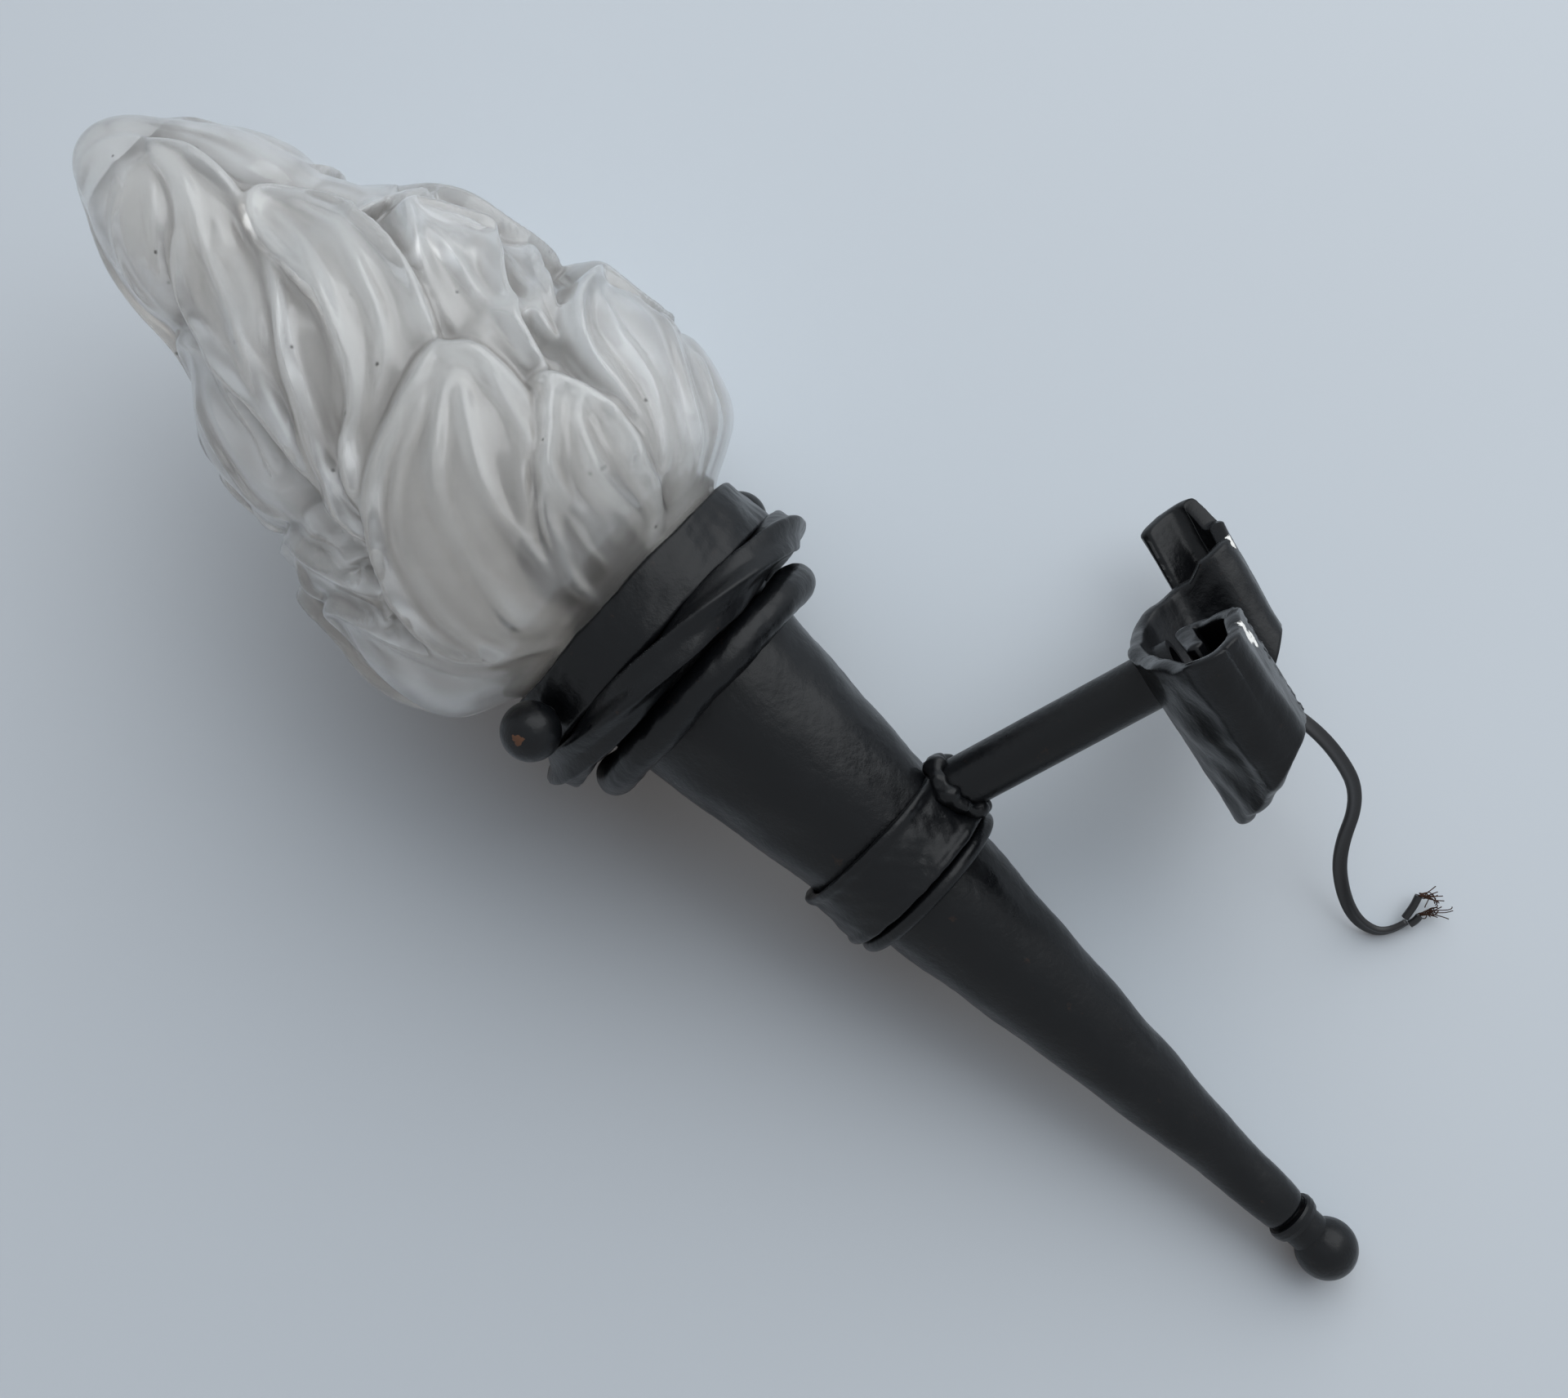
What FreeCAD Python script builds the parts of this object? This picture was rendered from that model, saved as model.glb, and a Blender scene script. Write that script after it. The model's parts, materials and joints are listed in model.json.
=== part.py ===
import FreeCAD, Part

import math
import os

import Sketcher

# A wrought iron torch sconce with a pressed glass flame.
#
# Row frame, millimetres: the wall is the plane y = 0 and the room lies towards -Y. +Z is up.
# The origin is where the arm's centre line meets the wall. The arm runs level along Y.
# Torch frame: +Z runs from the finial ball, its origin, towards the flame. The torch leans
# away from the wall, so this frame is tilted about X and meets the arm at arm_height.

DRIVING_SIZES = [
    ("lean_angle", 15.0, "torch leans out from the wall, degrees"),
    ("wall_reach", 135.8, "torch axis to the wall, along the arm"),
    ("arm_height", 197.5, "finial ball's centre to the arm's centre line, along the torch"),
    ("weld_gap", 0.25, "space left between welded pieces"),
    ("ball_radius", 10.0, "finial ball"),
    ("ball_neck_radius", 6.9, "neck between the ball and the cone"),
    ("spigot_radius", 5.2, "plug of the ball inside the cone's tip"),
    ("spigot_length", 16.0, "plug's reach into the cone"),
    ("tip_height", 17.0, "lower end of the cone"),
    ("tip_radius", 8.0, "cone's outside at its lower end"),
    ("knee_height", 48.0, "where the drawn tip turns into the straight cone"),
    ("knee_radius", 9.7, "cone's outside at the knee"),
    ("cone_top_radius", 36.0, "cone's outside under the gallery"),
    ("cone_wall", 2.0, "sheet of the rolled cone"),
    ("gallery_height", 288.0, "underside of the gallery floor"),
    ("floor_thickness", 2.5, "gallery floor"),
    ("gallery_radius", 50.0, "outside of the gallery band"),
    ("gallery_wall", 4.0, "gallery band"),
    ("gallery_rim", 17.0, "height of the gallery band"),
    ("edge_break", 0.8, "rounded over edge of bands and rings, drawn as a bevel"),
    ("square_bar", 9.4, "side of the twisted square bar"),
    ("square_ring_radius", 50.0, "centre line of the twisted ring"),
    ("round_bar", 13.0, "bar of the plain ring"),
    ("band_drop", 20.5, "lower edge of the middle band below the arm's centre line"),
    ("band_height", 22.0, "middle band"),
    ("band_radius", 30.4, "middle band over its lips"),
    ("band_dish", 0.9, "how far the band's face lies behind its lips"),
    ("band_lip", 3.0, "width of each lip"),
    ("wire_bar", 5.0, "wire ring under the middle band"),
    ("tube_radius", 8.6, "outside of the arm tube"),
    ("tube_bore", 6.3, "inside of the arm tube"),
    ("root_bead", 3.2, "weld bead at the arm's root"),
    ("strap_thickness", 4.6, "strap of the folded bracket"),
    ("wall_dressing", 0.1, "taken off the strap's flats to true them to the wall"),
    ("strap_top", 14.0, "upper edge of the strap"),
    ("strap_bottom", -49.5, "lower edge of the strap at the nose"),
    ("strap_flare", 21.0, "how much higher the free end stands"),
    ("strap_rise", 26.0, "rise of the strap's lower edge from the nose back to the wall, on its near side"),
    ("far_rise", 35.0, "the same on its far side"),
    ("fold_taper", 0.62, "width of the folds at the bottom as a share of that at the top"),
    ("neck_radius", 43.5, "outside of the glass neck"),
    ("neck_bore", 39.5, "inside of the glass neck"),
    ("flame_height", 230.0, "glass from its lower edge to its tip"),
    ("bulge_radius", 74.0, "widest part of the flame"),
    ("groove_depth", 6.5, "valleys between the tongues"),
    ("belly_sway", 17.6, "how the flame leans to the wall at first, per height of the flame"),
    ("tip_sway", 24.6, "how it bends back to the room, per height squared"),
    ("glass_wall", 4.0, "glass"),
    ("knob_radius", 9.05, "ball head of a shade screw"),
    ("shank_radius", 2.9, "shank of a shade screw"),
    ("knob_gap", 0.25, "between the ball head and the gallery band"),
    ("shade_screw_angle", 62.0, "shade screws from the front, degrees"),
    ("thread_gap", 0.06, "running space round a shade screw's shank"),
    ("holder_radius", 18.5, "lampholder's skirt"),
    ("holder_height", 46.0, "lampholder"),
    ("holder_base_radius", 13.0, "lampholder's domed base"),
    ("lamp_thread_radius", 13.4, "inside of the lamp thread"),
    ("shell_wall", 0.6, "threaded brass shell"),
    ("nipple_radius", 5.0, "threaded nipple"),
    ("nipple_bore", 2.6, "inside of the nipple"),
    ("nipple_length", 26.0, "threaded nipple"),
    ("nut_radius", 8.6, "across the corners of the nipple's nut"),
    ("nut_height", 4.0, "nipple's nut"),
    ("washer_radius", 9.5, "washer under the nut"),
    ("washer_height", 1.2, "washer under the nut"),
    ("flex_width", 4.6, "twin flex over both cores"),
    ("core_radius", 1.25, "one insulated core"),
    ("strand_radius", 0.75, "one bundle of bare strands"),
]

# Plan of the bracket's strap at its upper edge: (x, y, bend radius) of each corner of the
# centre line, from the free end round the far fold, the nose and the near fold to the inner end.
# y is counted from the line of the two flats that lie against the wall.
STRAP_CORNERS = [
    (-41.0, -21.0, 0.0),
    (-53.0, -10.0, 6.5),
    (-44.0, 0.0, 6.0),
    (-29.0, 0.0, 7.0),
    (-33.0, -20.0, 9.0),
    (-14.0, -32.0, 14.0),
    (14.0, -31.5, 30.0),
    (40.0, -22.8, 60.0),
    (64.0, -9.5, 6.5),
    (55.0, 0.0, 6.0),
    (27.0, 0.0, 8.0),
    (3.0, -18.7, 3.5),
    (36.0, -12.5, 0.0),
]
NOSE_FRONT = -31.6
ARM_PAST_NOSE = 7.0

# Way of the free flex from the mouth of the arm, down behind the bracket's nose, out under its
# edge and on to where the cores part: (x, y, z).
FLEX_ROUTE = [
    (0.0, -42.0, 0.0),
    (0.0, -27.5, 0.0),
    (-8.0, -17.0, -12.0),
    (-7.0, -6.2, -32.0),
    (-11.0, -2.6, -48.4),
    (-20.0, -4.5, -67.5),
    (-29.0, -20.8, -84.5),
    (-34.5, -27.2, -99.9),
    (-37.5, -28.3, -112.1),
    (-39.5, -22.9, -120.5),
    (-40.0, -15.3, -119.6),
]

# The two cores from where they part, and the bundle of bare strands that goes on from each.
CORE_ROUTES = [
    [(-40.01, -15.05, -118.2), (-40.31, -10.71, -115.87), (-40.5, -7.8, -113.6)],
    [(-40.01, -14.75, -120.8), (-40.02, -12.6, -120.53), (-40.0, -10.9, -119.7)],
]
STRAND_ROUTES = [
    [(-40.54, -7.13, -113.08), (-41.0, -4.1, -114.5), (-41.0, -3.0, -119.3)],
    [(-40.0, -10.2, -119.37), (-40.8, -7.6, -120.0), (-41.0, -5.0, -120.5)],
]

LOBES = 5


class Size(float):
    """A length that knows the expression it came from, so that sums of lengths stay tied to the sheet."""

    def __new__(cls, value, text):
        size = float.__new__(cls, value)
        size.text = text
        return size

    def __add__(self, other):
        return Size(float(self) + float(other), "(%s + %s)" % (self.text, text_of(other)))

    def __sub__(self, other):
        return Size(float(self) - float(other), "(%s - %s)" % (self.text, text_of(other)))

    def __mul__(self, other):
        return Size(float(self) * float(other), "(%s * %s)" % (self.text, text_of(other)))

    def __truediv__(self, other):
        return Size(float(self) / float(other), "(%s / %s)" % (self.text, text_of(other)))


def text_of(value):
    """Expression text of a size or of a plain number."""
    return value.text if isinstance(value, Size) else repr(float(value))


class Sizes:
    """The driving sizes, each one an attribute with the name of its cell."""


def make_sheet(doc):
    """Spreadsheet with one row per driving size, and the sizes read back from it."""
    sheet = doc.addObject("Spreadsheet::Sheet", "dims")
    for row, (name, value, note) in enumerate(DRIVING_SIZES, start=1):
        sheet.set("A%d" % row, name)
        sheet.set("B%d" % row, str(value))
        sheet.set("C%d" % row, note)
        sheet.setAlias("B%d" % row, name)
    doc.recompute()
    sizes = Sizes()
    for name, _, _ in DRIVING_SIZES:
        setattr(sizes, name, Size(float(sheet.get(name)), "dims." + name))
    return sizes


doc = FreeCAD.newDocument("torch_sconce")
d = make_sheet(doc)


def vec(x, y, z):
    return FreeCAD.Vector(float(x), float(y), float(z))


def torch_frame():
    """Placement of the torch: tilted about X, with the arm's height on the arm's centre line."""
    turn = FreeCAD.Rotation(vec(1, 0, 0), float(d.lean_angle))
    base = vec(0, -d.wall_reach, 0) - turn.multVec(vec(0, 0, d.arm_height))
    return FreeCAD.Placement(base, turn)


TORCH = torch_frame()
IN_ROW = FreeCAD.Placement()


def origin_plane(body, role):
    """Origin plane of a body, found by its role."""
    return [part for part in body.Origin.OriginFeatures if part.Role == role][0]


def draw_outline(body, name, corners, role):
    """Sketch of a closed outline whose corners are tied to the sheet one coordinate at a time."""
    sketch = body.newObject("Sketcher::SketchObject", name)
    sketch.AttachmentSupport = (origin_plane(body, role), [""])
    sketch.MapMode = "FlatFace"
    count = len(corners)
    for index in range(count):
        start, end = corners[index], corners[(index + 1) % count]
        sketch.addGeometry(Part.LineSegment(vec(start[0], start[1], 0), vec(end[0], end[1], 0)), False)
    for index in range(count):
        sketch.addConstraint(Sketcher.Constraint("Coincident", index, 2, (index + 1) % count, 1))
    for index, corner in enumerate(corners):
        for kind, place, axis in (("DistanceX", corner[0], -2), ("DistanceY", corner[1], -1)):
            if float(place) == 0.0:
                sketch.addConstraint(Sketcher.Constraint("PointOnObject", index, 1, axis))
            else:
                row = sketch.addConstraint(Sketcher.Constraint(kind, -1, 1, index, 1, float(place)))
                if isinstance(place, Size):
                    sketch.setExpression("Constraints[%d]" % row, place.text)
    return sketch


def turned_body(label, corners, placement):
    """Body of revolution about its own Z axis; corners are (radius, height)."""
    body = doc.addObject("PartDesign::Body", label)
    sketch = draw_outline(body, label + "_section", corners, "XZ_Plane")
    turn = body.newObject("PartDesign::Revolution", label + "_turn")
    turn.Profile = sketch
    turn.ReferenceAxis = (sketch, ["V_Axis"])
    turn.Angle = 360.0
    body.Tip = turn
    body.Placement = placement
    body.Label = label
    doc.recompute()
    return body


def cylinder(name, radius, length, placement):
    """Part cylinder tied to the sheet."""
    shape = doc.addObject("Part::Cylinder", name)
    shape.setExpression("Radius", text_of(radius))
    shape.setExpression("Height", text_of(length))
    shape.Placement = placement
    return shape


def cut(label, base, tool):
    result = doc.addObject("Part::Cut", label)
    result.Base = base
    result.Tool = tool
    result.Label = label
    doc.recompute()
    return result


def feature(label, shape, placement=IN_ROW):
    """Sub-part whose shape is worked out by a function of this file."""
    part = doc.addObject("Part::Feature", label)
    part.Shape = shape
    part.Placement = placement
    part.Label = label
    return part


def along_y(y, x=0.0, z=0.0):
    """Placement of a cylinder that starts at (x, y, z) and runs along +Y."""
    return FreeCAD.Placement(vec(x, y, z), FreeCAD.Rotation(vec(1, 0, 0), -90.0))


# ---------------------------------------------------------------- the torch's cone and its ball

def cone_radius(height):
    """Outside radius of the straight cone at a height."""
    share = (height - d.knee_height) / (d.gallery_height - d.knee_height)
    return d.knee_radius + (d.cone_top_radius - d.knee_radius) * float(share)


def make_cone():
    """Rolled sheet cone with a drawn tip, with the flex's way into the arm cut in its side."""
    top = d.gallery_height - d.weld_gap
    corners = [
        (d.tip_radius, d.tip_height),
        (d.knee_radius, d.knee_height),
        (d.cone_top_radius, top),
        (d.cone_top_radius - d.cone_wall, top),
        (d.knee_radius - d.cone_wall, d.knee_height),
        (d.tip_radius - d.cone_wall, d.tip_height),
    ]
    blank = turned_body("cone_blank", corners, TORCH)
    way = cylinder("cone_way", d.tube_bore, d.wall_reach, along_y(-d.wall_reach))
    return cut("torch_cone", blank, way)


def make_ball():
    """Finial ball with its neck and the plug that centres it in the cone."""
    ball = doc.addObject("Part::Sphere", "ball_end")
    ball.setExpression("Radius", d.ball_radius.text)
    neck = cylinder("ball_neck", d.ball_neck_radius, d.tip_height - d.weld_gap, IN_ROW)
    plug = cylinder("ball_plug", d.spigot_radius, d.tip_height + d.spigot_length, IN_ROW)
    joined = doc.addObject("Part::MultiFuse", "finial_ball")
    joined.Shapes = [ball, neck, plug]
    joined.Placement = TORCH
    joined.Label = "finial_ball"
    doc.recompute()
    return joined


def make_tip_weld():
    """Rounded bead that closes the step from the cone's tip to the ball's neck."""
    inner = d.ball_neck_radius + d.weld_gap
    outer = d.tip_radius + 0.6
    low = d.tip_height - 4.2
    top = d.tip_height - d.weld_gap
    corners = [
        (inner, low),
        (inner + 0.9, low),
        (outer, low + 1.6),
        (outer, top - 0.8),
        (outer - 0.4, top),
        (inner, top),
    ]
    return turned_body("tip_weld", corners, TORCH)


# ---------------------------------------------------------------- bands and rings

def make_gallery_band():
    """Flat band that holds the glass neck, tapped for the shade screws."""
    outer = d.gallery_radius
    inner = d.gallery_radius - d.gallery_wall
    low = d.gallery_height
    top = d.gallery_height + d.gallery_rim
    edge = d.edge_break
    corners = [
        (inner, low),
        (outer - edge, low),
        (outer, low + edge),
        (outer, top - edge),
        (outer - edge, top),
        (inner + edge, top),
        (inner, top - edge),
    ]
    band = turned_body("gallery_blank", corners, TORCH)
    holes = doc.addObject("Part::MultiFuse", "gallery_holes")
    holes.Shapes = [
        cylinder("gallery_hole_%d" % side, d.shank_radius + d.thread_gap, d.gallery_radius * 1.3, screw_frame(side))
        for side in SCREW_SIDES
    ]
    doc.recompute()
    return cut("gallery_band", band, holes)


def make_gallery_floor():
    """Disc that closes the band's foot and carries the lampholder."""
    outer = d.gallery_radius - d.gallery_wall - d.weld_gap
    top = d.gallery_height + d.floor_thickness
    hole = d.nipple_radius + 0.2
    corners = [
        (hole, d.gallery_height),
        (outer, d.gallery_height),
        (outer, top),
        (hole, top),
    ]
    return turned_body("gallery_floor", corners, TORCH)


TWIST_STEPS = 72


def make_twisted_ring():
    """Square bar twisted one full turn while it goes once round the torch."""
    half = float(d.square_bar) / math.sqrt(2.0)
    height = float(d.gallery_height - d.weld_gap) - half
    sections = TWIST_STEPS
    corners = []
    for index in range(sections):
        around = 2.0 * math.pi * index / sections
        section = []
        for corner in range(4):
            twist = around + math.pi / 2.0 * corner + math.radians(20.0)
            reach = float(d.square_ring_radius) + half * math.cos(twist)
            section.append(vec(
                reach * math.cos(around),
                reach * math.sin(around),
                height + half * math.sin(twist),
            ))
        corners.append(section)
    faces = []
    for index in range(sections):
        here, there = corners[index], corners[(index + 1) % sections]
        for corner in range(4):
            after = (corner + 1) % 4
            first = Part.makeLine(here[corner], here[after])
            second = Part.makeLine(there[corner], there[after])
            faces.append(Part.makeRuledSurface(first, second))
    shell = Part.makeShell(faces)
    shell.sewShape()
    ring = Part.makeSolid(shell)
    if ring.Volume < 0:
        ring.reverse()
    return feature("twisted_ring", ring, TORCH)


def ring_of_bar(label, bar, height, gap):
    """Ring of round bar that hugs the cone at a height."""
    ring = doc.addObject("Part::Torus", label)
    radius = cone_radius(height + bar / 2.0) + bar / 2.0 + gap
    ring.setExpression("Radius1", radius.text)
    ring.setExpression("Radius2", (bar / 2.0).text)
    ring.Placement = TORCH.multiply(FreeCAD.Placement(vec(0, 0, height), FreeCAD.Rotation()))
    ring.Label = label
    doc.recompute()
    return ring


def make_plain_ring():
    twisted_foot = d.gallery_height - d.weld_gap - d.square_bar * math.sqrt(2.0)
    return ring_of_bar("plain_ring", d.round_bar, twisted_foot - d.round_bar / 2.0 + 0.4, d.weld_gap / 4.0)


def make_middle_band():
    """Lipped band round the cone, where the arm is welded on."""
    low = d.arm_height - d.band_drop
    top = d.arm_height - d.band_drop + d.band_height
    face = d.band_radius - d.band_dish
    lip = d.band_lip
    edge = d.edge_break
    corners = [
        (cone_radius(low) + d.weld_gap, low),
        (d.band_radius - edge, low),
        (d.band_radius, low + edge),
        (d.band_radius, low + lip - edge),
        (face, low + lip + edge),
        (face, top - lip - edge),
        (d.band_radius, top - lip + edge),
        (d.band_radius, top - edge),
        (d.band_radius - edge, top),
        (cone_radius(top) + d.weld_gap, top),
    ]
    blank = turned_body("band_blank", corners, TORCH)
    way = cylinder("band_way", d.tube_bore, d.wall_reach, along_y(-d.wall_reach))
    return cut("middle_band", blank, way)


def make_wire_ring():
    height = d.arm_height - d.band_drop - d.wire_bar / 2.0 - d.weld_gap
    return ring_of_bar("wire_ring", d.wire_bar, height, d.weld_gap / 4.0)


# ---------------------------------------------------------------- the arm

def make_arm():
    """Pipe from the middle band to the bracket's nose, coped to sit on the band."""
    start = -d.wall_reach
    length = d.wall_reach - d.strap_thickness / 2.0 + (NOSE_FRONT + ARM_PAST_NOSE)
    outside = cylinder("arm_outside", d.tube_radius, length, along_y(start))
    bore = cylinder("arm_bore", d.tube_bore, length, along_y(start))
    pipe = cut("arm_pipe", outside, bore)
    cope = cylinder("arm_cope", d.band_radius + d.weld_gap, d.band_height * 3.0, TORCH.multiply(
        FreeCAD.Placement(vec(0, 0, d.arm_height - d.band_drop - d.band_height), FreeCAD.Rotation())))
    return cut("arm_tube", pipe, cope)


def make_root_weld():
    """Bead round the foot of the arm, cut away where the band and the pipe are."""
    lean = math.radians(float(d.lean_angle))
    foot = -d.wall_reach + (d.band_radius + d.weld_gap) / math.cos(lean)
    bead = doc.addObject("Part::Torus", "root_bead_blank")
    bead.setExpression("Radius1", (d.tube_radius + 0.4).text)
    bead.setExpression("Radius2", d.root_bead.text)
    bead.Placement = along_y(foot + 0.8)
    pipe = cylinder("root_bead_bore", d.tube_radius + d.weld_gap / 2.0, d.wall_reach, along_y(-d.wall_reach))
    ring = cut("root_bead_ring", bead, pipe)
    band = cylinder("root_bead_seat", d.band_radius + d.weld_gap / 2.0, d.band_height * 3.0, TORCH.multiply(
        FreeCAD.Placement(vec(0, 0, d.arm_height - d.band_drop - d.band_height), FreeCAD.Rotation())))
    return cut("root_weld", ring, band)


# ---------------------------------------------------------------- the folded bracket

def folded_runs(corners):
    """Straight runs and tangent arcs of a folded centre line, each as points with their normals."""
    middle = d.strap_thickness / 2.0 - d.wall_dressing
    points = [vec(x, y - middle, 0) for x, y, _ in corners]
    pieces = []
    here = points[0]
    for index in range(1, len(points) - 1):
        back = (points[index - 1] - points[index]).normalize()
        ahead = (points[index + 1] - points[index]).normalize()
        half_turn = (math.pi - back.getAngle(ahead)) / 2.0
        setback = corners[index][2] * math.tan(half_turn)
        start = points[index] + back * setback
        end = points[index] + ahead * setback
        into = (back + ahead).normalize()
        centre = points[index] + into * (corners[index][2] / math.cos(half_turn))
        middle = centre - into * corners[index][2]
        side = 1.0 if (ahead.cross(back)).z > 0 else -1.0
        normal = left_of(points[index - 1], points[index])
        pieces.append([(here, normal), (start, normal)])
        pieces.append([(point, (centre - point).normalize() * side) for point in (start, middle, end)])
        here = end
    normal = left_of(points[-2], points[-1])
    pieces.append([(here, normal), (points[-1], normal)])
    return pieces


def left_of(start, end):
    """Unit normal on the left of a run."""
    run = (end - start).normalize()
    return FreeCAD.Vector(-run.y, run.x, 0)


def strap_outline(corners, thickness, height):
    """Closed outline of the strap at one height: its left side, an end, its right side, an end."""
    lift = FreeCAD.Vector(0, 0, height)
    sides = []
    for offset in (thickness / 2.0, -thickness / 2.0):
        edges = []
        for piece in folded_runs(corners):
            spots = [point + normal * offset + lift for point, normal in piece]
            if len(spots) == 2:
                edges.append(Part.makeLine(spots[0], spots[1]))
            else:
                edges.append(Part.Arc(spots[0], spots[1], spots[2]).toShape())
        sides.append(edges)
    left, right = sides
    end_cap = Part.makeLine(left[-1].Vertexes[-1].Point, right[-1].Vertexes[-1].Point)
    start_cap = Part.makeLine(right[0].Vertexes[0].Point, left[0].Vertexes[0].Point)
    return Part.Wire(left + [end_cap] + list(reversed(right)) + [start_cap])


def scaled_corners(share):
    """Corners of the strap with the folds drawn in across the wall by a share."""
    return [(x * share, y, bend * (0.4 + 0.6 * share)) for x, y, bend in STRAP_CORNERS]


def prism_along_x(outline, low_x, high_x):
    """Straight prism over an outline of (y, z) corners."""
    wire = Part.makePolygon([vec(low_x, y, z) for y, z in outline + outline[:1]])
    return Part.Face(wire).extrude(vec(high_x - low_x, 0, 0))


def make_bracket():
    """Flat strap folded on edge, flared at its free end and drawn in towards its lower edge."""
    top, bottom = float(d.strap_top), float(d.strap_bottom)
    crest = top + float(d.strap_flare)
    taper = (1.0 - float(d.fold_taper)) / (top - bottom)
    upper = strap_outline(scaled_corners(1.0 + taper * (crest - top)), float(d.strap_thickness), crest)
    lower = strap_outline(scaled_corners(float(d.fold_taper)), float(d.strap_thickness), bottom)
    strap = Part.makeLoft([upper, lower], True, True)
    wall_side = -float(d.strap_thickness) / 2.0
    front = NOSE_FRONT + wall_side
    far_fold = STRAP_CORNERS[3][0] - 4.0
    aside = 2.0 * max(abs(x) for x, y, bend in STRAP_CORNERS)
    behind = float(d.strap_thickness) * 4.0
    over = crest + behind
    above = [prism_along_x([(low_y, top), (high_y, top), (high_y, over), (low_y, over)], low_x, aside)
             for low_y, high_y, low_x in ((front - behind, -8, far_fold - 6.5), (-8, behind, far_fold))]
    free_front = STRAP_CORNERS[0][1] + wall_side - 6.0
    flare = prism_along_x([(behind, top + 8), (0, top + 8), (free_front / 2.0, crest), (free_front, crest),
                           (free_front, over), (behind, over)], -aside, far_fold)
    below = [prism_along_x([(front, bottom), (wall_side, bottom + float(rise)), (behind, bottom + float(rise)),
                            (behind, bottom - behind), (front, bottom - behind)], low_x, high_x)
             for rise, low_x, high_x in ((d.strap_rise, 0, aside), (d.far_rise, -aside, 0))]
    wall = prism_along_x([(0, bottom - behind), (behind, bottom - behind), (behind, over), (0, over)],
                         -aside, aside)
    nose_hole = Part.makeCylinder(float(d.tube_radius + d.weld_gap), 20.0, vec(0, front - 8.0, 0), vec(0, 1, 0))
    for tool in above + below + [flare, wall, nose_hole]:
        strap = strap.cut(tool)
    return feature("bracket_strap", strap)


# ---------------------------------------------------------------- shade screws

SCREW_SIDES = (1, -1)


def screw_frame(side):
    """Frame of a shade screw: Z runs outwards from the torch axis at the middle of the band."""
    height = d.gallery_height + d.gallery_rim * 0.46
    around = math.radians(float(d.shade_screw_angle))
    outward = vec(math.sin(around) * side, -math.cos(around) * side, 0)
    turn = FreeCAD.Rotation(vec(0, 0, 1), outward)
    return TORCH.multiply(FreeCAD.Placement(vec(0, 0, height), turn))


def make_shade_screw(label, side):
    """Ball-headed screw whose tip rests on the glass neck and whose ball rests by the band."""
    tip = d.neck_radius + 0.15
    ball = d.gallery_radius + d.knob_gap + d.knob_radius
    shank = cylinder(label + "_shank", d.shank_radius, ball - tip, IN_ROW)
    shank.Placement = FreeCAD.Placement(vec(0, 0, tip), FreeCAD.Rotation())
    head = doc.addObject("Part::Sphere", label + "_head")
    head.setExpression("Radius", d.knob_radius.text)
    head.Placement = FreeCAD.Placement(vec(0, 0, ball), FreeCAD.Rotation())
    joined = doc.addObject("Part::MultiFuse", label)
    joined.Shapes = [shank, head]
    joined.Placement = screw_frame(side)
    joined.Label = label
    doc.recompute()
    return joined


# ---------------------------------------------------------------- the glass flame

def flame_profile():
    """Outline of the flame over its ridges: (height share, radius) from the neck to the tip."""
    bulge = float(d.bulge_radius)
    return [
        (0.080, 0.700 * bulge),
        (0.115, 0.850 * bulge),
        (0.170, 0.965 * bulge),
        (0.240, 1.000 * bulge),
        (0.310, 0.975 * bulge),
        (0.385, 0.950 * bulge),
        (0.430, 0.860 * bulge),
        (0.500, 0.830 * bulge),
        (0.570, 0.810 * bulge),
        (0.625, 0.720 * bulge),
        (0.680, 0.560 * bulge),
        (0.740, 0.490 * bulge),
        (0.810, 0.450 * bulge),
        (0.870, 0.370 * bulge),
        (0.930, 0.235 * bulge),
        (0.975, 0.110 * bulge),
        (1.000, 0.030 * bulge),
    ]


def tongue_wave(share, angle):
    """Valley between tongues, 0 on a ridge and 1 in a valley; each tier sits over the valleys below."""
    tiers = [(0.02, 0.44, 0.0), (0.40, 0.69, 0.5), (0.64, 1.02, 0.0)]
    valley = 0.0
    for low, high, shift in tiers:
        if low < share < high:
            strength = math.sin(math.pi * (share - low) / (high - low)) ** 0.8
            lean = 2.0 * math.pi * shift / LOBES + math.radians(55.0) * share
            valley = max(valley, strength * (0.5 - 0.5 * math.cos(LOBES * (angle - lean))))
    return valley


def sway(share):
    """How far a level of the flame stands towards the wall from the torch axis."""
    return share * (float(d.belly_sway) - float(d.tip_sway) * share)


def flame_section(share, radius):
    """One closed level curve of the flame."""
    height = share * float(d.flame_height)
    depth = float(d.groove_depth) * min(1.0, radius / float(d.bulge_radius) * 1.3)
    points = []
    steps = LOBES * 8
    for index in range(steps):
        angle = 2.0 * math.pi * index / steps
        reach = radius - depth * tongue_wave(share, angle)
        points.append(vec(reach * math.cos(angle), reach * math.sin(angle) + sway(share), height))
    curve = Part.BSplineCurve()
    curve.interpolate(Points=points, PeriodicFlag=True)
    return Part.Wire(curve.toShape())


def circle_section(share, radius):
    return Part.Wire(Part.makeCircle(radius, vec(0, sway(share), share * float(d.flame_height))))


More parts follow.
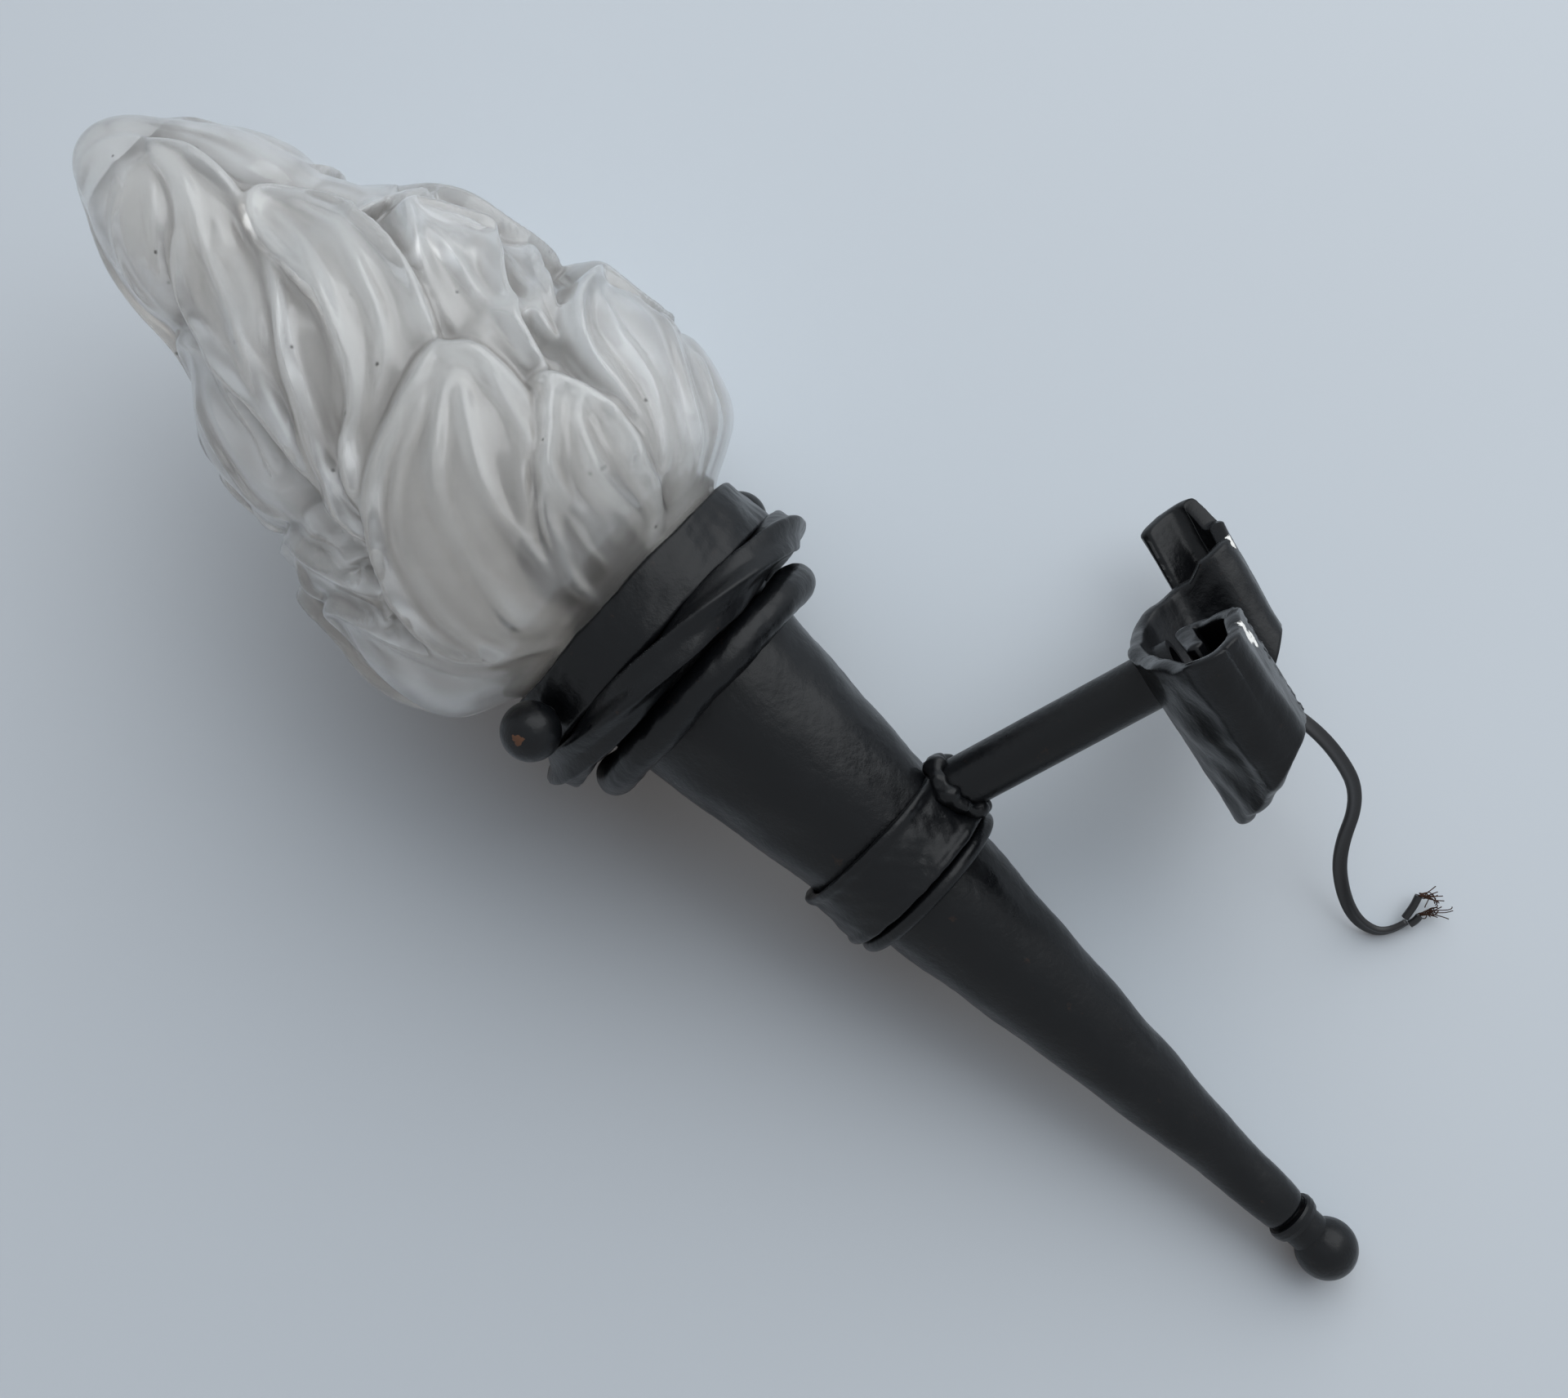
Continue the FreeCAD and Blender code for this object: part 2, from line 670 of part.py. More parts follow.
def make_flame():
    """Hollow glass flame: three tiers of tongues over a round neck, open at the neck."""
    rows = flame_profile()
    outer = Part.makeLoft([flame_section(share, radius) for share, radius in rows], True, False)
    first = rows[0][0] * float(d.flame_height)
    neck = Part.makeCylinder(float(d.neck_radius), first + 0.01)
    body = outer.fuse(neck)
    thickness = float(d.glass_wall + d.groove_depth)
    inside = [circle_section(rows[0][0], float(d.neck_bore))]
    for share, radius in rows[1:-3]:
        inside.append(circle_section(share, radius - thickness))
    hollow = Part.makeLoft(inside, True, True)
    mouth = Part.makeCylinder(float(d.neck_bore), first + 2.0)
    glass = body.cut(hollow).cut(mouth)
    seat = d.gallery_height + d.floor_thickness + 0.3
    place = TORCH.multiply(FreeCAD.Placement(vec(0, 0, seat), FreeCAD.Rotation()))
    return feature("flame_shade", glass, place)


# ---------------------------------------------------------------- lampholder

def on_floor(lift=0.0):
    """Torch frame moved up to the top of the gallery floor."""
    return TORCH.multiply(FreeCAD.Placement(
        vec(0, 0, d.gallery_height + d.floor_thickness + lift), FreeCAD.Rotation()))


def make_holder():
    """Moulded lampholder: domed base, skirt and a floor for the contacts."""
    wall = 2.4
    bore = d.lamp_thread_radius + d.shell_wall + 0.2
    floor = d.holder_height * 0.36
    corners = [
        (d.nipple_radius + 0.15, 0.3),
        (d.holder_base_radius, 0.3),
        (d.holder_radius - 1.0, d.holder_height * 0.3),
        (d.holder_radius, d.holder_height * 0.4),
        (d.holder_radius - 1.0, d.holder_height),
        (bore, d.holder_height),
        (bore, floor + wall),
        (d.nipple_radius + 0.15, floor + wall),
    ]
    return turned_body("lampholder", corners, on_floor())


def make_lamp_shell():
    """Rolled thread that the lamp screws into, drawn as its mean cylinder with waves."""
    base = d.holder_height * 0.36 + 2.7
    inner = d.lamp_thread_radius
    outer = d.lamp_thread_radius + d.shell_wall
    top = d.holder_height - 3.0
    corners = [
        (inner, base),
        (outer, base),
        (outer, top),
        (inner, top),
    ]
    return turned_body("lamp_thread_shell", corners, on_floor())


def make_centre_contact():
    """Sprung disc in the middle of the lampholder's floor."""
    base = d.holder_height * 0.36 + 2.7
    plug = d.nipple_radius + 2.2
    corners = [
        (0.0, base),
        (plug, base),
        (plug, base + 0.8),
        (2.6, base + 2.2),
        (0.0, base + 2.2),
    ]
    return turned_body("centre_contact", corners, on_floor())


def make_nipple():
    """Threaded tube that clamps the lampholder to the gallery floor and lets the flex through."""
    low = -(d.nipple_length * 0.5)
    corners = [
        (d.nipple_bore, low),
        (d.nipple_radius, low),
        (d.nipple_radius, low + d.nipple_length),
        (d.nipple_bore, low + d.nipple_length),
    ]
    return turned_body("threaded_nipple", corners, on_floor())


def make_washer():
    low = -(d.floor_thickness + d.washer_height + 0.1)
    corners = [
        (d.nipple_radius + 0.25, low),
        (d.washer_radius, low),
        (d.washer_radius, low + d.washer_height),
        (d.nipple_radius + 0.25, low + d.washer_height),
    ]
    return turned_body("nipple_washer", corners, on_floor())


def make_nut():
    """Hexagon nut under the washer."""
    low = -float(d.floor_thickness + d.washer_height + d.nut_height) - 0.2
    points = []
    for index in range(7):
        angle = math.radians(60.0 * index)
        points.append(vec(d.nut_radius * math.cos(angle), d.nut_radius * math.sin(angle), low))
    block = Part.Face(Part.makePolygon(points)).extrude(vec(0, 0, d.nut_height))
    hole = Part.makeCylinder(float(d.nipple_radius) + 0.1, float(d.nut_height) + 2.0, vec(0, 0, low - 1.0))
    return feature("nipple_nut", block.cut(hole), on_floor())


# ---------------------------------------------------------------- the flex

def tangent_path(points):
    """Straight runs joined by tangent arcs as large as the runs allow; returns edges and radii."""
    route = [vec(*point) for point in points]
    edges, radii = [], []
    here = route[0]
    for index in range(1, len(route) - 1):
        back = route[index - 1] - route[index]
        ahead = route[index + 1] - route[index]
        setback = 0.45 * min(back.Length, ahead.Length)
        half_turn = (math.pi - back.getAngle(ahead)) / 2.0
        radius = setback / math.tan(half_turn)
        back.normalize()
        ahead.normalize()
        start = route[index] + back * setback
        end = route[index] + ahead * setback
        into = (back + ahead).normalize()
        middle = route[index] + into * (radius / math.cos(half_turn) - radius)
        edges.append(Part.LineSegment(here, start).toShape())
        edges.append(Part.Arc(start, middle, end).toShape())
        radii.append(radius)
        here = end
    edges.append(Part.LineSegment(here, route[-1]).toShape())
    return edges, radii


def tube_along(points, radius):
    """Round tube along a route, with its volume compared with section times length."""
    edges, radii = tangent_path(points)
    path = Part.Wire(edges)
    ahead = vec(*points[1]) - vec(*points[0])
    section = Part.Wire(Part.makeCircle(radius, vec(*points[0]), ahead))
    tube = path.makePipeShell([section], True, False)
    expected = math.pi * radius ** 2 * path.Length
    if abs(tube.Volume / expected - 1.0) > 0.01:
        raise RuntimeError("the tube's volume differs from its section times its length")
    return tube, path.Length, radii


def make_flex():
    tube, length, radii = tube_along(FLEX_ROUTE, float(d.flex_width) / 2.0)
    print("free flex: %.1f mm long, bend radii %s" % (length, ["%.1f" % radius for radius in radii]))
    return feature("supply_flex", tube)


def make_cores():
    """The two cores past the split, and the bare strands that stand out of them."""
    cores = [tube_along(route, float(d.core_radius))[0] for route in CORE_ROUTES]
    strands = [tube_along(route, float(d.strand_radius))[0] for route in STRAND_ROUTES]
    feature("flex_cores", Part.makeCompound(cores))
    return feature("bare_strands", Part.makeCompound(strands))


def make_inner_flex():
    """Run of the flex from the lampholder's nipple down the cone and along the arm."""
    lean = math.radians(float(d.lean_angle))
    reach = float(d.gallery_height + d.floor_thickness - d.arm_height) - float(d.nipple_length) * 0.5 + 4.0
    points = [
        (0.0, -float(d.wall_reach) - math.sin(lean) * reach, math.cos(lean) * reach),
        (0.0, -float(d.wall_reach), 0.0),
        (0.0, FLEX_ROUTE[0][1] - 0.25, 0.0),
    ]
    tube, length, radii = tube_along(points, float(d.flex_width) / 2.0)
    print("inner flex: %.1f mm long, bend radius %.1f" % (length, radii[0]))
    return feature("inner_flex", tube)


def make_all():
    make_cone()
    make_ball()
    make_tip_weld()
    make_gallery_band()
    make_gallery_floor()
    make_twisted_ring()
    make_plain_ring()
    make_middle_band()
    make_wire_ring()
    make_arm()
    make_root_weld()
    make_bracket()
    make_shade_screw("shade_screw_near", 1)
    make_shade_screw("shade_screw_far", -1)
    make_flame()
    make_holder()
    make_lamp_shell()
    make_centre_contact()
    make_nipple()
    make_washer()
    make_nut()
    make_inner_flex()
    make_flex()
    make_cores()


NODES = [
    "torch_cone", "finial_ball", "tip_weld", "gallery_band", "gallery_floor", "twisted_ring", "plain_ring",
    "middle_band", "wire_ring", "arm_tube", "root_weld", "bracket_strap",
    "shade_screw_near", "shade_screw_far", "flame_shade", "lampholder", "lamp_thread_shell",
    "centre_contact", "threaded_nipple", "nipple_washer", "nipple_nut", "inner_flex", "supply_flex", "flex_cores",
    "bare_strands",
]


def check_and_write():
    """Stops on any failed object, then writes one file per sub-part."""
    doc.recompute()
    for part in doc.Objects:
        if "Invalid" in part.State or "Error" in part.State:
            raise RuntimeError("%s failed: %s" % (part.Label, part.State))
    os.makedirs("parts", exist_ok=True)
    for label in NODES:
        part = doc.getObjectsByLabel(label)[0]
        if part.Shape.isNull() or not part.Shape.isValid():
            raise RuntimeError("%s has no valid shape" % label)
        part.Shape.exportStep("parts/%s.step" % label)


make_all()
check_and_write()
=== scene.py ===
import json
import math

import bpy
import numpy as np
from mathutils import Matrix, Vector


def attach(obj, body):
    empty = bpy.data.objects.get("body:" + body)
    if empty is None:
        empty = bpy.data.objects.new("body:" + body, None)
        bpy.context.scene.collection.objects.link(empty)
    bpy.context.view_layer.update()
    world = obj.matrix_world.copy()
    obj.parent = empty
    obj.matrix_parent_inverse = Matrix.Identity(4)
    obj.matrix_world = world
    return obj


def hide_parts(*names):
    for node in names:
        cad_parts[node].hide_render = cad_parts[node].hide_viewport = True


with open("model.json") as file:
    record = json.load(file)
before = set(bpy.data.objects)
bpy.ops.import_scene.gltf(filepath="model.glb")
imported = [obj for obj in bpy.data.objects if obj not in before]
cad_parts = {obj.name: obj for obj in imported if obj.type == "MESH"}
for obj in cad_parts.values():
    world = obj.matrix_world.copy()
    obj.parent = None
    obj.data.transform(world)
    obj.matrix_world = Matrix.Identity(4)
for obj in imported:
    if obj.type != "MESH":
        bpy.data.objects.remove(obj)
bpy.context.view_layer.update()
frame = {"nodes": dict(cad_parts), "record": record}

NODES = frame["nodes"]
MM = 0.001

# ------------------------------------------------------------------ the torch's own frame
# Millimetres along the torch: z = 0 is the middle of the finial ball, +z runs to the flame.
# The arm meets the torch at ARM_HEIGHT, WALL_REACH in front of the wall.
LEAN = math.radians(15.0)
WALL_REACH = 135.8
ARM_HEIGHT = 197.5
GLASS_FOOT = 290.8
FLAME_HEIGHT = 230.0


def torch_to_row(x, y, z):
    """Points of the torch's frame in millimetres, as an (n, 3) array in the row frame in metres.
    The torch is turned by LEAN about X, so that its height runs up and away from the wall."""
    z = z - ARM_HEIGHT
    across = y * math.cos(LEAN) - z * math.sin(LEAN) - WALL_REACH
    up = y * math.sin(LEAN) + z * math.cos(LEAN)
    return np.stack([x, across, up], -1).reshape(-1, 3) * MM


# ------------------------------------------------------------------ camera
# Where the camera stands, in metres, and its directions to the right, up and backwards. Its lens
# and sensor, in millimetres, give a view 46 degrees wide.
CAMERA_PLACE = (0.53458, 0.06476, 0.13357)
CAMERA_RIGHT = (-0.22081, 0.81041, -0.54266)
CAMERA_UP = (-0.30598, 0.47074, 0.82751)
CAMERA_BACK = (0.92608, 0.34877, 0.14402)
CAMERA_LENS = 42.75
CAMERA_SENSOR = 36.0


def make_camera():
    """Camera at the photograph's place, with its width of view."""
    lens = bpy.data.cameras.new("camera")
    lens.lens = CAMERA_LENS
    lens.sensor_width = CAMERA_SENSOR
    lens.clip_start = 0.01
    camera = bpy.data.objects.new("camera", lens)
    bpy.context.scene.collection.objects.link(camera)
    turn = Matrix((CAMERA_RIGHT, CAMERA_UP, CAMERA_BACK)).transposed()
    camera.matrix_world = Matrix.Translation(CAMERA_PLACE) @ turn.to_4x4()
    bpy.context.scene.camera = camera


# ------------------------------------------------------------------ meshes
def grid_mesh(name, points, closed_u=False, closed_v=False, caps=False):
    """Mesh from a (rows, columns, 3) array of points in metres. A closed direction joins its last
    line to its first. With caps, the first and last rows are each closed to their middle point."""
    rows, columns = points.shape[:2]
    vertices = points.reshape(-1, 3)
    row = np.arange(rows if closed_u else rows - 1)
    column = np.arange(columns if closed_v else columns - 1)
    a, b = np.meshgrid(row, column, indexing="ij")
    a2, b2 = (a + 1) % rows, (b + 1) % columns
    quads = np.stack([a * columns + b, a * columns + b2, a2 * columns + b2, a2 * columns + b], -1)
    faces = quads.reshape(-1, 4).tolist()
    if caps:
        middle = np.full(columns, len(vertices))
        vertices = np.vstack([vertices, points[0].mean(0), points[-1].mean(0)])
        here = np.arange(columns)
        after = (here + 1) % columns
        last = (rows - 1) * columns
        faces += np.stack([middle, after, here], -1).tolist()
        faces += np.stack([middle + 1, last + here, last + after], -1).tolist()
    thing = mesh_object(name, vertices, faces)
    face_outwards(thing.data)
    return thing


def face_outwards(mesh):
    """Turns all faces of a closed mesh over if the volume that they enclose comes out negative."""
    mesh.calc_loop_triangles()
    corners = np.zeros(len(mesh.loop_triangles) * 3, int)
    mesh.loop_triangles.foreach_get("vertices", corners)
    places = np.zeros(len(mesh.vertices) * 3)
    mesh.vertices.foreach_get("co", places)
    a, b, c = (places.reshape(-1, 3)[corners.reshape(-1, 3)[:, k]] for k in range(3))
    if (a * np.cross(b, c)).sum() < 0.0:
        mesh.flip_normals()


def set_attribute(thing, name, values):
    """One number for each point of a piece, for its material to read."""
    attribute = thing.data.attributes.new(name, "FLOAT", "POINT")
    attribute.data.foreach_set("value", np.asarray(values, np.float32).ravel())


def mesh_object(name, vertices, faces, smooth=True):
    """Object at the origin from vertices in metres and a list of faces."""
    mesh = bpy.data.meshes.new(name)
    mesh.from_pydata(np.asarray(vertices).tolist(), [], faces)
    mesh.validate()
    mesh.polygons.foreach_set("use_smooth", np.full(len(mesh.polygons), smooth))
    mesh.update()
    thing = bpy.data.objects.new(name, mesh)
    bpy.context.scene.collection.objects.link(thing)
    return thing


# ------------------------------------------------------------------ materials
def srgb(text):
    """Linear colour from an sRGB hex value."""
    values = np.array([int(text[i:i + 2], 16) for i in (0, 2, 4)]) / 255.0
    linear = np.where(values <= 0.04045, values / 12.92, ((values + 0.055) / 1.055) ** 2.4)
    return (*[float(v) for v in linear], 1.0)


def scale_of(size):
    """Scale of a pattern on Object coordinates whose features are size millimetres across."""
    return 1000.0 / size


def new_material(name):
    """Node material with its shader and its output."""
    material = bpy.data.materials.new(name)
    material.use_nodes = True
    return material, material.node_tree


def add(tree, kind, links=(), **settings):
    """Adds a node. Settings named for an input set it, any other is the node's own, and links are
    (this node's input, other node, its output)."""
    node = tree.nodes.new("ShaderNode" + kind)
    for key, value in settings.items():
        if hasattr(node, key):
            setattr(node, key, value)
        else:
            node.inputs[key.replace("_", " ")].default_value = value
    for socket, other, output in links:
        tree.links.new(other.outputs[output], node.inputs[socket])
    return node


# The first colour, the second colour and the result of a Mix node that mixes colours.
MIX_FIRST, MIX_SECOND, MIX_RESULT = 6, 7, 2


def set_ramp(ramp, stops):
    """Stops of a colour ramp: (position, hex colour)."""
    band = ramp.color_ramp
    while len(band.elements) < len(stops):
        band.elements.new(0.5)
    for element, (place, colour) in zip(band.elements, stops):
        element.position = place
        element.color = srgb(colour)
    return ramp


def black_paint():
    """Gloss enamel brushed over forged iron: a near black coat with a wet skin that gives soft, broken
    highlights, slow lumps 11 mm across from the hammer and the brush, orange peel 2.4 mm across,
    and brown rusty specks at the peaks of a pattern of 6 mm."""
    material, tree = new_material("brushed_black_enamel_on_iron")
    shader = tree.nodes["Principled BSDF"]
    place = add(tree, "TexCoord")
    peel = add(tree, "TexNoise", [("Vector", place, "Object")],
               Scale=scale_of(2.381), Detail=4.0, Roughness=0.6)
    lumps = add(tree, "TexNoise", [("Vector", place, "Object")], Scale=scale_of(11.11), Detail=3.0)
    rust = add(tree, "TexNoise", [("Vector", place, "Object")],
               Scale=scale_of(6.25), Detail=6.0, Roughness=0.7)
    spots = set_ramp(add(tree, "ValToRGB", [("Fac", rust, "Fac")]),
                     [(0.0, "08090b"), (0.64, "0a0b0d"), (0.72, "241a15"), (1.0, "3a281e")])
    gloss = add(tree, "MapRange", [("Value", lumps, "Fac")],
                From_Min=0.3, From_Max=0.7, To_Min=0.26, To_Max=0.42)
    first = add(tree, "Bump", [("Height", lumps, "Fac")], Strength=0.35, Distance=0.8 * MM)
    second = add(tree, "Bump", [("Height", peel, "Fac"), ("Normal", first, "Normal")],
                 Strength=0.55, Distance=0.4 * MM)
    tree.links.new(spots.outputs["Color"], shader.inputs["Base Color"])
    tree.links.new(gloss.outputs["Result"], shader.inputs["Roughness"])
    tree.links.new(second.outputs["Normal"], shader.inputs["Normal"])
    shader.inputs["Coat Weight"].default_value = 0.12
    shader.inputs["Coat Roughness"].default_value = 0.18
    shader.inputs["Specular IOR Level"].default_value = 0.24
    return material


def chipped_paint(paint):
    """The same enamel with old wall plaster caught on it: chalky, off white and rough, wherever the
    piece's plaster attribute is high, with an edge made ragged by a grain of 1.4 mm."""
    material = paint.copy()
    material.name = "black_enamel_with_wall_plaster"
    tree = material.node_tree
    shader = tree.nodes["Principled BSDF"]
    place = add(tree, "TexCoord")
    spots = add(tree, "Attribute", attribute_name="plaster")
    ragged = add(tree, "TexNoise", [("Vector", place, "Object")], Scale=scale_of(1.4286), Detail=4.0)
    total = add(tree, "Math", [(0, spots, "Fac"), (1, ragged, "Fac")], operation="MULTIPLY")
    share = add(tree, "MapRange", [("Value", total, "Value")], From_Min=0.3, From_Max=0.36)
    colour = shader.inputs["Base Color"].links[0].from_socket
    rough = shader.inputs["Roughness"].links[0].from_socket
    mix = add(tree, "Mix", [("Factor", share, "Result")], data_type="RGBA")
    tree.links.new(colour, mix.inputs[MIX_FIRST])
    mix.inputs[MIX_SECOND].default_value = srgb("cfccc6")
    tree.links.new(mix.outputs[MIX_RESULT], shader.inputs["Base Color"])
    rougher = add(tree, "MapRange", [("Value", share, "Result")], To_Min=0.0, To_Max=0.5)
    both = add(tree, "Math", [(0, rougher, "Result")], operation="ADD")
    tree.links.new(rough, both.inputs[1])
    tree.links.new(both.outputs["Value"], shader.inputs["Roughness"])
    return material


# Middle of the chip on the near screw's ball, and how far its edge may lie from there, in metres.
CHIP_PLACE = (0.06138, -0.18854, 0.08829)
CHIP_REACH = 3.1 * MM


def chipped_ball_paint(paint):
    """The same enamel with a worn chip about 3 mm across, down to brown iron, where the screw's ball
    has been knocked. Its edge follows a grain of 2 mm."""
    material = paint.copy()
    material.name = "black_enamel_with_a_rusty_chip"
    tree = material.node_tree
    shader = tree.nodes["Principled BSDF"]
    place = add(tree, "TexCoord")
    ragged = add(tree, "TexNoise", [("Vector", place, "Object")], Scale=scale_of(2.0), Detail=3.0)
    away = add(tree, "VectorMath", [(0, place, "Object")], operation="DISTANCE")
    away.inputs[1].default_value = CHIP_PLACE
    wide = add(tree, "Math", [(0, ragged, "Fac")], operation="MULTIPLY")
    wide.inputs[1].default_value = CHIP_REACH
    share = add(tree, "Math", [(0, away, "Value"), (1, wide, "Value")], operation="LESS_THAN")
    mix = add(tree, "Mix", [("Factor", share, "Value")], data_type="RGBA")
    tree.links.new(shader.inputs["Base Color"].links[0].from_socket, mix.inputs[MIX_FIRST])
    mix.inputs[MIX_SECOND].default_value = srgb("5b3d2b")
    tree.links.new(mix.outputs[MIX_RESULT], shader.inputs["Base Color"])
    return material


def frosted_glass():
    """Acid etched pressed glass: soft milky see-through with a satin skin and small dark seeds about 13 mm
    apart.
    Its colour carries painted shade: greyer in its hollows and paler on its ridges, by the piece's
    crease_shade attribute."""
    material, tree = new_material("acid_etched_pressed_glass")
    shader = tree.nodes["Principled BSDF"]
    place = add(tree, "TexCoord")
    etch = add(tree, "TexNoise", [("Vector", place, "Object")], Scale=scale_of(1.111), Detail=2.0)
    bump = add(tree, "Bump", [("Height", etch, "Fac")], Strength=0.05, Distance=0.2 * MM)
    tree.links.new(bump.outputs["Normal"], shader.inputs["Normal"])
    # Painted shade: the glass is made greyer where crease_shade says a place lies below the broad form, and
    # paler on the ridges.
    crease_shade = add(tree, "Attribute", attribute_name="crease_shade")
    level = add(tree, "MapRange", [("Value", crease_shade, "Fac")], From_Min=-0.6, From_Max=0.8)
    painted_shade_tone = set_ramp(add(tree, "ValToRGB", [("Fac", level, "Result")]),
                    [(0.0, "fcfbf8"), (0.42, "f3f0ec"), (0.62, "dedad5"), (1.0, "b4afaa")])
    seeds = add(tree, "TexVoronoi", [("Vector", place, "Object")], Scale=scale_of(13.333))
    seed = add(tree, "MapRange", [("Value", seeds, "Distance")], From_Min=0.03, From_Max=0.06)
    mix = add(tree, "Mix", [("Factor", seed, "Result")], data_type="RGBA")
    mix.inputs[MIX_FIRST].default_value = srgb("4f4b47")
    tree.links.new(painted_shade_tone.outputs["Color"], mix.inputs[MIX_SECOND])
    tree.links.new(mix.outputs[MIX_RESULT], shader.inputs["Base Color"])
    shader.inputs["Roughness"].default_value = 0.24
    shader.inputs["IOR"].default_value = 1.45
    shader.inputs["Coat Weight"].default_value = 0.8
    shader.inputs["Coat Roughness"].default_value = 0.2
    shader.inputs["Transmission Weight"].default_value = 0.86
    return material


def plain(name, colour, roughness=0.5, metallic=0.0):
    """Plain moulded or drawn finish with a fine grain 1.7 mm across, which breaks up its highlight."""
    material, tree = new_material(name)
    shader = tree.nodes["Principled BSDF"]
    place = add(tree, "TexCoord")
    noise = add(tree, "TexNoise", [("Vector", place, "Object")], Scale=scale_of(1.6667), Detail=3.0)
    bump = add(tree, "Bump", [("Height", noise, "Fac")], Strength=0.4, Distance=0.15 * MM)
    tree.links.new(bump.outputs["Normal"], shader.inputs["Normal"])
    shader.inputs["Base Color"].default_value = srgb(colour)
    shader.inputs["Roughness"].default_value = roughness
    shader.inputs["Metallic"].default_value = metallic
    return material


# ------------------------------------------------------------------ the flex
# Control points of the flex, in millimetres of the row frame: out of the arm's end,
# # through the bracket and down to its bare end. The solids hold the same points.
FLEX_ROUTE = [
    (0.0, -42.0, 0.0),
    (0.0, -27.5, 0.0),
    (-8.0, -17.0, -12.0),
    (-7.0, -6.2, -32.0),
    (-11.0, -2.6, -48.4),
    (-20.0, -4.5, -67.5),
    (-29.0, -20.8, -84.5),
    (-34.5, -27.2, -99.9),
    (-37.5, -28.3, -112.1),
    (-39.5, -22.9, -120.5),
    (-40.0, -15.3, -119.6),
]
FLEX_WIDTH = 4.6
# How far the flex's section is turned about its line at the start, and how far it turns on, degrees.
FLEX_TURN, FLEX_TWIST = 20.0, 150.0


def nurbs_line(name, route, divisions=12):
    """Points in metres along a smooth line whose control points are the route's, in millimetres."""
    curve = bpy.data.curves.new(name, "CURVE")
    curve.dimensions = "3D"
    spline = curve.splines.new("NURBS")
    spline.points.add(len(route) - 1)
    flat = np.ones((len(route), 4))
    flat[:, :3] = np.array(route) * MM
    spline.points.foreach_set("co", flat.ravel())
    spline.order_u = 3
    spline.use_endpoint_u = True
    spline.resolution_u = divisions
    carrier = bpy.data.objects.new(name, curve)
    bpy.context.scene.collection.objects.link(carrier)
    mesh = bpy.data.meshes.new_from_object(carrier)
    points = np.zeros(len(mesh.vertices) * 3)
    mesh.vertices.foreach_get("co", points)
    bpy.data.objects.remove(carrier)
    bpy.data.curves.remove(curve)
    bpy.data.meshes.remove(mesh)
    return points.reshape(-1, 3)


def spread_evenly(points, step):
    """Points set out anew at even steps along their own line."""
    runs = np.linalg.norm(np.diff(points, axis=0), axis=1)
    along = np.concatenate([[0.0], np.cumsum(runs)])
    count = max(3, int(round(along[-1] / step)) + 1)
    stops = np.linspace(0.0, along[-1], count)
    return np.stack([np.interp(stops, along, points[:, k]) for k in range(3)], -1), along[-1]


def frames_along(points, first_side):
    """Directions along a line, and a side and a third direction carried on without a twist: each side
    is the last one less its part along the line."""
    ahead = np.gradient(points, axis=0)
    ahead /= np.linalg.norm(ahead, axis=1)[:, None]
    side = np.array(first_side, float)
    sides = np.zeros_like(points)
    for index, direction in enumerate(ahead):
        side = side - direction * np.dot(side, direction)
        side /= np.linalg.norm(side)
        sides[index] = side
    return ahead, sides, np.cross(ahead, sides)


def make_flex():
    """Twin flex: a section like an 8, two round cores side by side with a groove between, carried
    along the route's smooth line and turned slowly about it. The section's width is a circle's
    cosine pulled apart by a steep tanh, and its height falls to 0.42 in the groove."""
    line, length = spread_evenly(nurbs_line("flex_line", FLEX_ROUTE), 0.8 * MM)
    _, side, third = frames_along(line, (1.0, 0.0, 0.2))
    around = np.linspace(0.0, 2.0 * np.pi, 40, endpoint=False)
    core = FLEX_WIDTH / 4.0 * MM
    across = core * (np.cos(around) + 0.98 * np.tanh(np.cos(around) * 4.0))
    high = core * 1.2 * np.sin(around) * (0.42 + 0.58 * np.abs(np.cos(around)) ** 0.6)
    turn = np.radians(FLEX_TURN + FLEX_TWIST * np.linspace(0.0, 1.0, len(line)))[:, None]
    u = across * np.cos(turn) - high * np.sin(turn)
    v = across * np.sin(turn) + high * np.cos(turn)
    points = line[:, None] + u[..., None] * side[:, None] + v[..., None] * third[:, None]
    flex = grid_mesh("twin_flex", points, closed_v=True, caps=True)
    return flex, line, length


# Where the bare strands leave each core's sheath, and where the middle of each bundle ends. The
# strands are drawn a little thicker than real, so that they show.
FRAY_STARTS = [(-40.5, -7.4, -113.4), (-40.0, -10.6, -119.3)]
FRAY_ENDS = [(-41.0, -2.6, -117.5), (-40.6, -3.4, -120.8)]
STRANDS_PER_CORE = 15
STRAND_RADIUS = 0.17
STRAND_STEPS, STRAND_SIDES = 22, 6
STRAND_WALL_GAP = 0.4


